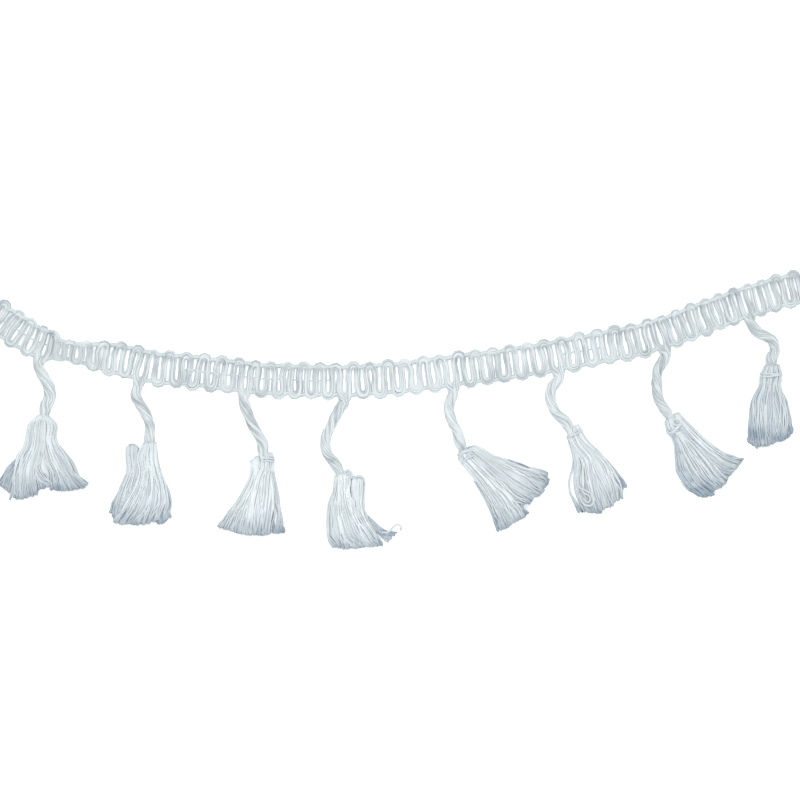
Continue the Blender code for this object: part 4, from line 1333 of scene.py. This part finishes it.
# %% Thickness and colour of the yarns
ROOM_SHARE = 0.75                  # a yarn's radius, as a share of its room
YARN_RADII = (0.22, 0.36)          # mm, least and most
UNEQUAL = (0.85, 1.15)             # shares of it that yarns differ by
FRAYED = 0.35                      # how much thicker a yarn's tip is
FRAYED_FROM = 0.8                  # of the way along, and how long it takes to be so thick
FRAYED_OVER = 0.2
# Painted shade: a blue-grey shade grows over the last third of each yarn, where the tips roll under.
TIP_SHADOW_TINT = 0.95
TIP_SHADOW_FROM = 0.62               # of the way along, and how long it takes to be full
TIP_SHADOW_OVER = 0.32
TOP_SHADOW_LESS = 0.3                # how much less of it the uppermost yarns take
CLUMP_TINT = 0.06
HANK_SHADE = 0.74
CLUMP_SHADE = 0.16
YARN_SHADE = 0.22


def yarn_radius(lock, at, stations, draw, count):
    """0.75 width / yarns abreast, between two limits, times 0.85 to 1.15 for each yarn, and up to
    1.35 times that at the tips."""
    width = np.interp(at, at_lines(lock, stations), lock_widths(lock))
    radius = np.clip(ROOM_SHARE * width / yarns_abreast(lock), *YARN_RADII)
    frayed = np.clip((at / at[-1] - FRAYED_FROM) / FRAYED_OVER, 0.0, 1.0)
    return radius * draw.uniform(*UNEQUAL, (count, 1)) * (1.0 + FRAYED * frayed)


# Painted shade at the tips, and on the lower yarns more than on the uppermost.
def yarn_shadow_tint(lock, at, layer, clump):
    """The lock's tint + 0.95 deep^2 (3 - 2 deep) (1 - 0.3 layer) + the clump's own part."""
    deep = np.clip((at / at[-1] - TIP_SHADOW_FROM) / TIP_SHADOW_OVER, 0.0, 1.0)
    tips = TIP_SHADOW_TINT * (deep * deep * (3 - 2 * deep)) * (1.0 - TOP_SHADOW_LESS * layer[:, None])
    return np.clip(lock["shadow_tint"] + tips + CLUMP_TINT * clump[:, None], 0.0, 1.0)


print("yarns are", 2 * YARN_RADII[0], "to", 2 * YARN_RADII[1], "mm thick")

# %% The soft mass, and a whole lock
MASS_SIDES = 20
MASS_STEPS = 16
MASS_WIDTH = 0.44                  # half its share of the lock's width
MASS_HEIGHT = 0.36                 # half its share of the lock's thickness
MASS_BACK = 0.45                   # mm that it ends before the last line
# Painted shade: the mass is deeper and bluer than the yarns, as shade between them.
MASS_PAINTED_SHADE = 0.3
MASS_SHADOW_TINT = 0.2                    # more than the lock's


def soft_mass(lock, crown, stations):
    """A lock's inside: share = 1/2 - 0.44 cos(angle), layer = 1/2 + 0.36 sin(angle)."""
    angle = np.linspace(0.0, 2 * math.pi, MASS_SIDES, endpoint=False)
    share, layer = 0.5 - MASS_WIDTH * np.cos(angle), 0.5 + MASS_HEIGHT * np.sin(angle)
    no_drift, reach = np.zeros(MASS_SIDES), np.full(MASS_SIDES, -MASS_BACK)
    knots = lock_knots(lock, crown, share, layer, no_drift, reach) - ORIGIN
    rings, _ = smooth_through(at_lines(lock, knots), MASS_STEPS, at_lines(lock, stations))
    return skinned(rings[None], MASS_PAINTED_SHADE, min(lock["shadow_tint"] + MASS_SHADOW_TINT, 1.0))


def lock_surfaces(lock, crown, draw):
    """The yarns of one lock, and the soft mass inside them. No yarn's middle lies lower than its
    radius, so that it rests on the table."""
    share, layer, drift, length_clump, shade_clump = hank(lock, draw)
    reach = tip_reach(lock, share, layer, length_clump, draw)
    paths, at, stations = yarn_lines(lock, crown, share, layer, drift, reach)
    paths = swung(paths, at, draw)
    radius = yarn_radius(lock, at, stations, draw, len(share))
    paths[..., 2] = np.maximum(paths[..., 2], radius)
    shadow_tint = yarn_shadow_tint(lock, at, layer, shade_clump)
    shade = HANK_SHADE + CLUMP_SHADE * shade_clump + draw.uniform(-YARN_SHADE, YARN_SHADE, len(share))
    # Painted shade: each yarn is paler on top and deeper on its sides and underside, as if lit from above.
    outward = np.broadcast_to(UP, paths.shape)
    yarns = tubes(paths, radius, sides=6, shade=shade[:, None], shadow_tint=shadow_tint, outward=outward)
    return [yarns] if "thin" in lock else [yarns, soft_mass(lock, crown, stations)]


print("the soft mass of a lock has", MASS_SIDES, "sides")

# %% [markdown]
# ## Stray yarns
# Here and there one yarn lies across the others: over a head, or curled at a tip. They are what
# makes the hanks look handled. Each is a smooth line through listed places, because a random one
# would seldom lie where a real one would.

# %% Strays
STRAY_RADIUS = 0.4                 # mm
STRAY_DIP = 1.4                    # mm that its ends dip into the other yarns
STRAY_STEPS = 6                    # between two of its places
STRAYS = (                         # tassel, height, places
    (3, 7.0, ((-54.6, -31.2), (-52.4, -30.9), (-50.2, -31.6))),
    (3, 7.0, ((-54.9, -32.3), (-52.4, -31.9), (-50.1, -32.5))),
    (3, 7.0, ((-55.0, -33.4), (-52.4, -32.9), (-50.2, -33.5))),
    (3, 5.0, ((-59.8, -33.4), (-58.0, -32.8), (-56.2, -33.4))),
    (4, 7.2, ((-22.8, -39.4), (-21.9, -37.4), (-20.4, -36.7), (-19.3, -38.2), (-19.6, -40.6))),
    (4, 7.0, ((-21.8, -39.8), (-21.0, -38.2), (-20.2, -38.2), (-19.9, -40.2))),
    (4, 6.6, ((-18.9, -41.4), (-18.0, -39.6), (-15.8, -39.1), (-14.4, -40.2), (-14.2, -42.4))),
    (4, 1.6, ((-8.0, -61.8), (-4.6, -61.6), (-3.3, -60.2), (-1.9, -58.9), (-0.4, -58.7), (0.5, -59.8),
              (0.2, -61.0))),
    (5, 7.0, ((23.2, -32.6), (24.2, -30.6), (26.4, -29.3), (30.0, -28.6))),
    (5, 7.0, ((23.0, -30.8), (24.8, -29.4), (27.4, -28.5), (30.4, -27.6))),
    (5, 6.6, ((24.8, -34.6), (26.0, -32.6), (28.0, -31.4), (30.4, -30.8))),
    (6, 4.7, ((71.0, -41.0), (71.6, -43.6), (73.8, -44.8), (76.4, -46.4), (77.4, -48.8), (76.2, -50.8),
              (73.8, -50.6), (72.2, -48.4), (71.4, -45.6))),
    (6, 4.5, ((71.8, -43.0), (73.2, -45.8), (75.4, -47.0), (75.8, -49.0), (74.4, -49.6), (72.8, -47.6))),
    (7, 6.9, ((105.8, -18.6), (107.4, -17.8), (109.6, -18.8), (111.4, -18.4))),
    (7, 6.8, ((106.2, -21.2), (107.8, -22.0), (109.4, -20.8), (111.6, -21.4))),
    (7, 6.8, ((106.8, -16.0), (109.0, -16.6), (111.4, -15.8))),
)


def stray(height, places):
    """One yarn across the others: its height is height - 1.4 part^4, from part = -1 to 1."""
    line = catmull_rom(places, STRAY_STEPS)
    part = np.linspace(-1.0, 1.0, len(line))
    path = raised(line, height - STRAY_DIP * part**4) - ORIGIN
    # Painted shade: deeper and bluer than the hank, so a raised stray doesn't look lit brighter than the
    # yarns under it.
    return tubes(path[None], STRAY_RADIUS, sides=7, shade=0.35, shadow_tint=0.15)


print(len(STRAYS), "stray yarns")

# %% [markdown]
# ## Eight tassels
# No two of the eight hang alike, so each has locks of its own, and each draws its random numbers
# from a seed of its own. A change in one tassel then leaves the others as they are.

# %% The tassels' pieces
FIRST_SEED = 40
for number, locks in enumerate(LOCKS):
    draw = np.random.default_rng(FIRST_SEED + number)
    surfaces = [s for lock in locks for s in lock_surfaces(lock, DROPS[number]["crown"], draw)]
    surfaces += [stray(height, places) for tassel, height, places in STRAYS if tassel == number + 1]
    make_piece(f"tassel_{number + 1}_yarn", surfaces, tassel_cotton, "cotton_yarn", f"tassel_{number + 1}")

# %% [markdown]
# ## The neck ties
# A tassel is bound round its neck. Where the tie shows, it is two turns of the same yarn round the
# head, side by side. A ring for each turn would do, but one line that winds round, as the real
# yarn does, leans a little from turn to turn.

# %% Ties
TIE_RADIUS = 0.42                  # mm
TIE_STEPS = 28                     # for a turn
TIE_SPACING = 1.9                  # between two turns, in radii
TIE_WAVE = (0.25, 1.7)             # mm that a turn sways, and radians for each radian round
TIE_MIDDLE = 3.7                   # mm over the table
TIE_RISE = 3.5                     # mm that it rises and falls from there
TIES = {                           # tassel: the tie's middle, half its width, its turns, its way
    6: ((69.7, -22.3), 3.2, 2, 28),
    7: ((110.6, -20.0), 3.9, 2, 42),
    8: ((148.1, 1.1), 4.2, 2, 0),
}


def neck_tie(middle, half, turns, way):
    """Yarn wound round a neck: half width x cos(angle) across, rise x sin(angle) up, and a
    spacing further along the neck with each turn."""
    angle = np.linspace(0.0, 2 * math.pi * turns, TIE_STEPS * turns)
    place = (angle / (2 * math.pi) - turns / 2) * TIE_RADIUS * TIE_SPACING
    place = place + TIE_WAVE[0] * np.sin(angle * TIE_WAVE[1] + way)
    across = (half * np.cos(angle))[:, None] * sideways(way)
    flat = np.array(middle) + place[:, None] * direction(way) + across
    path = raised(flat, TIE_MIDDLE + TIE_RISE * np.sin(angle)) - ORIGIN
    # Painted shade: deeper and bluer than the hank, so the raised tie doesn't look lit brighter than the
    # yarns under it.
    return tubes(path[None], TIE_RADIUS, sides=7, shade=0.4, shadow_tint=0.15)


for number, tie in TIES.items():
    name = f"neck_tie_{number}"
    make_piece(f"{name}_yarn", [neck_tie(*tie)], tassel_cotton, "cotton_yarn", name)
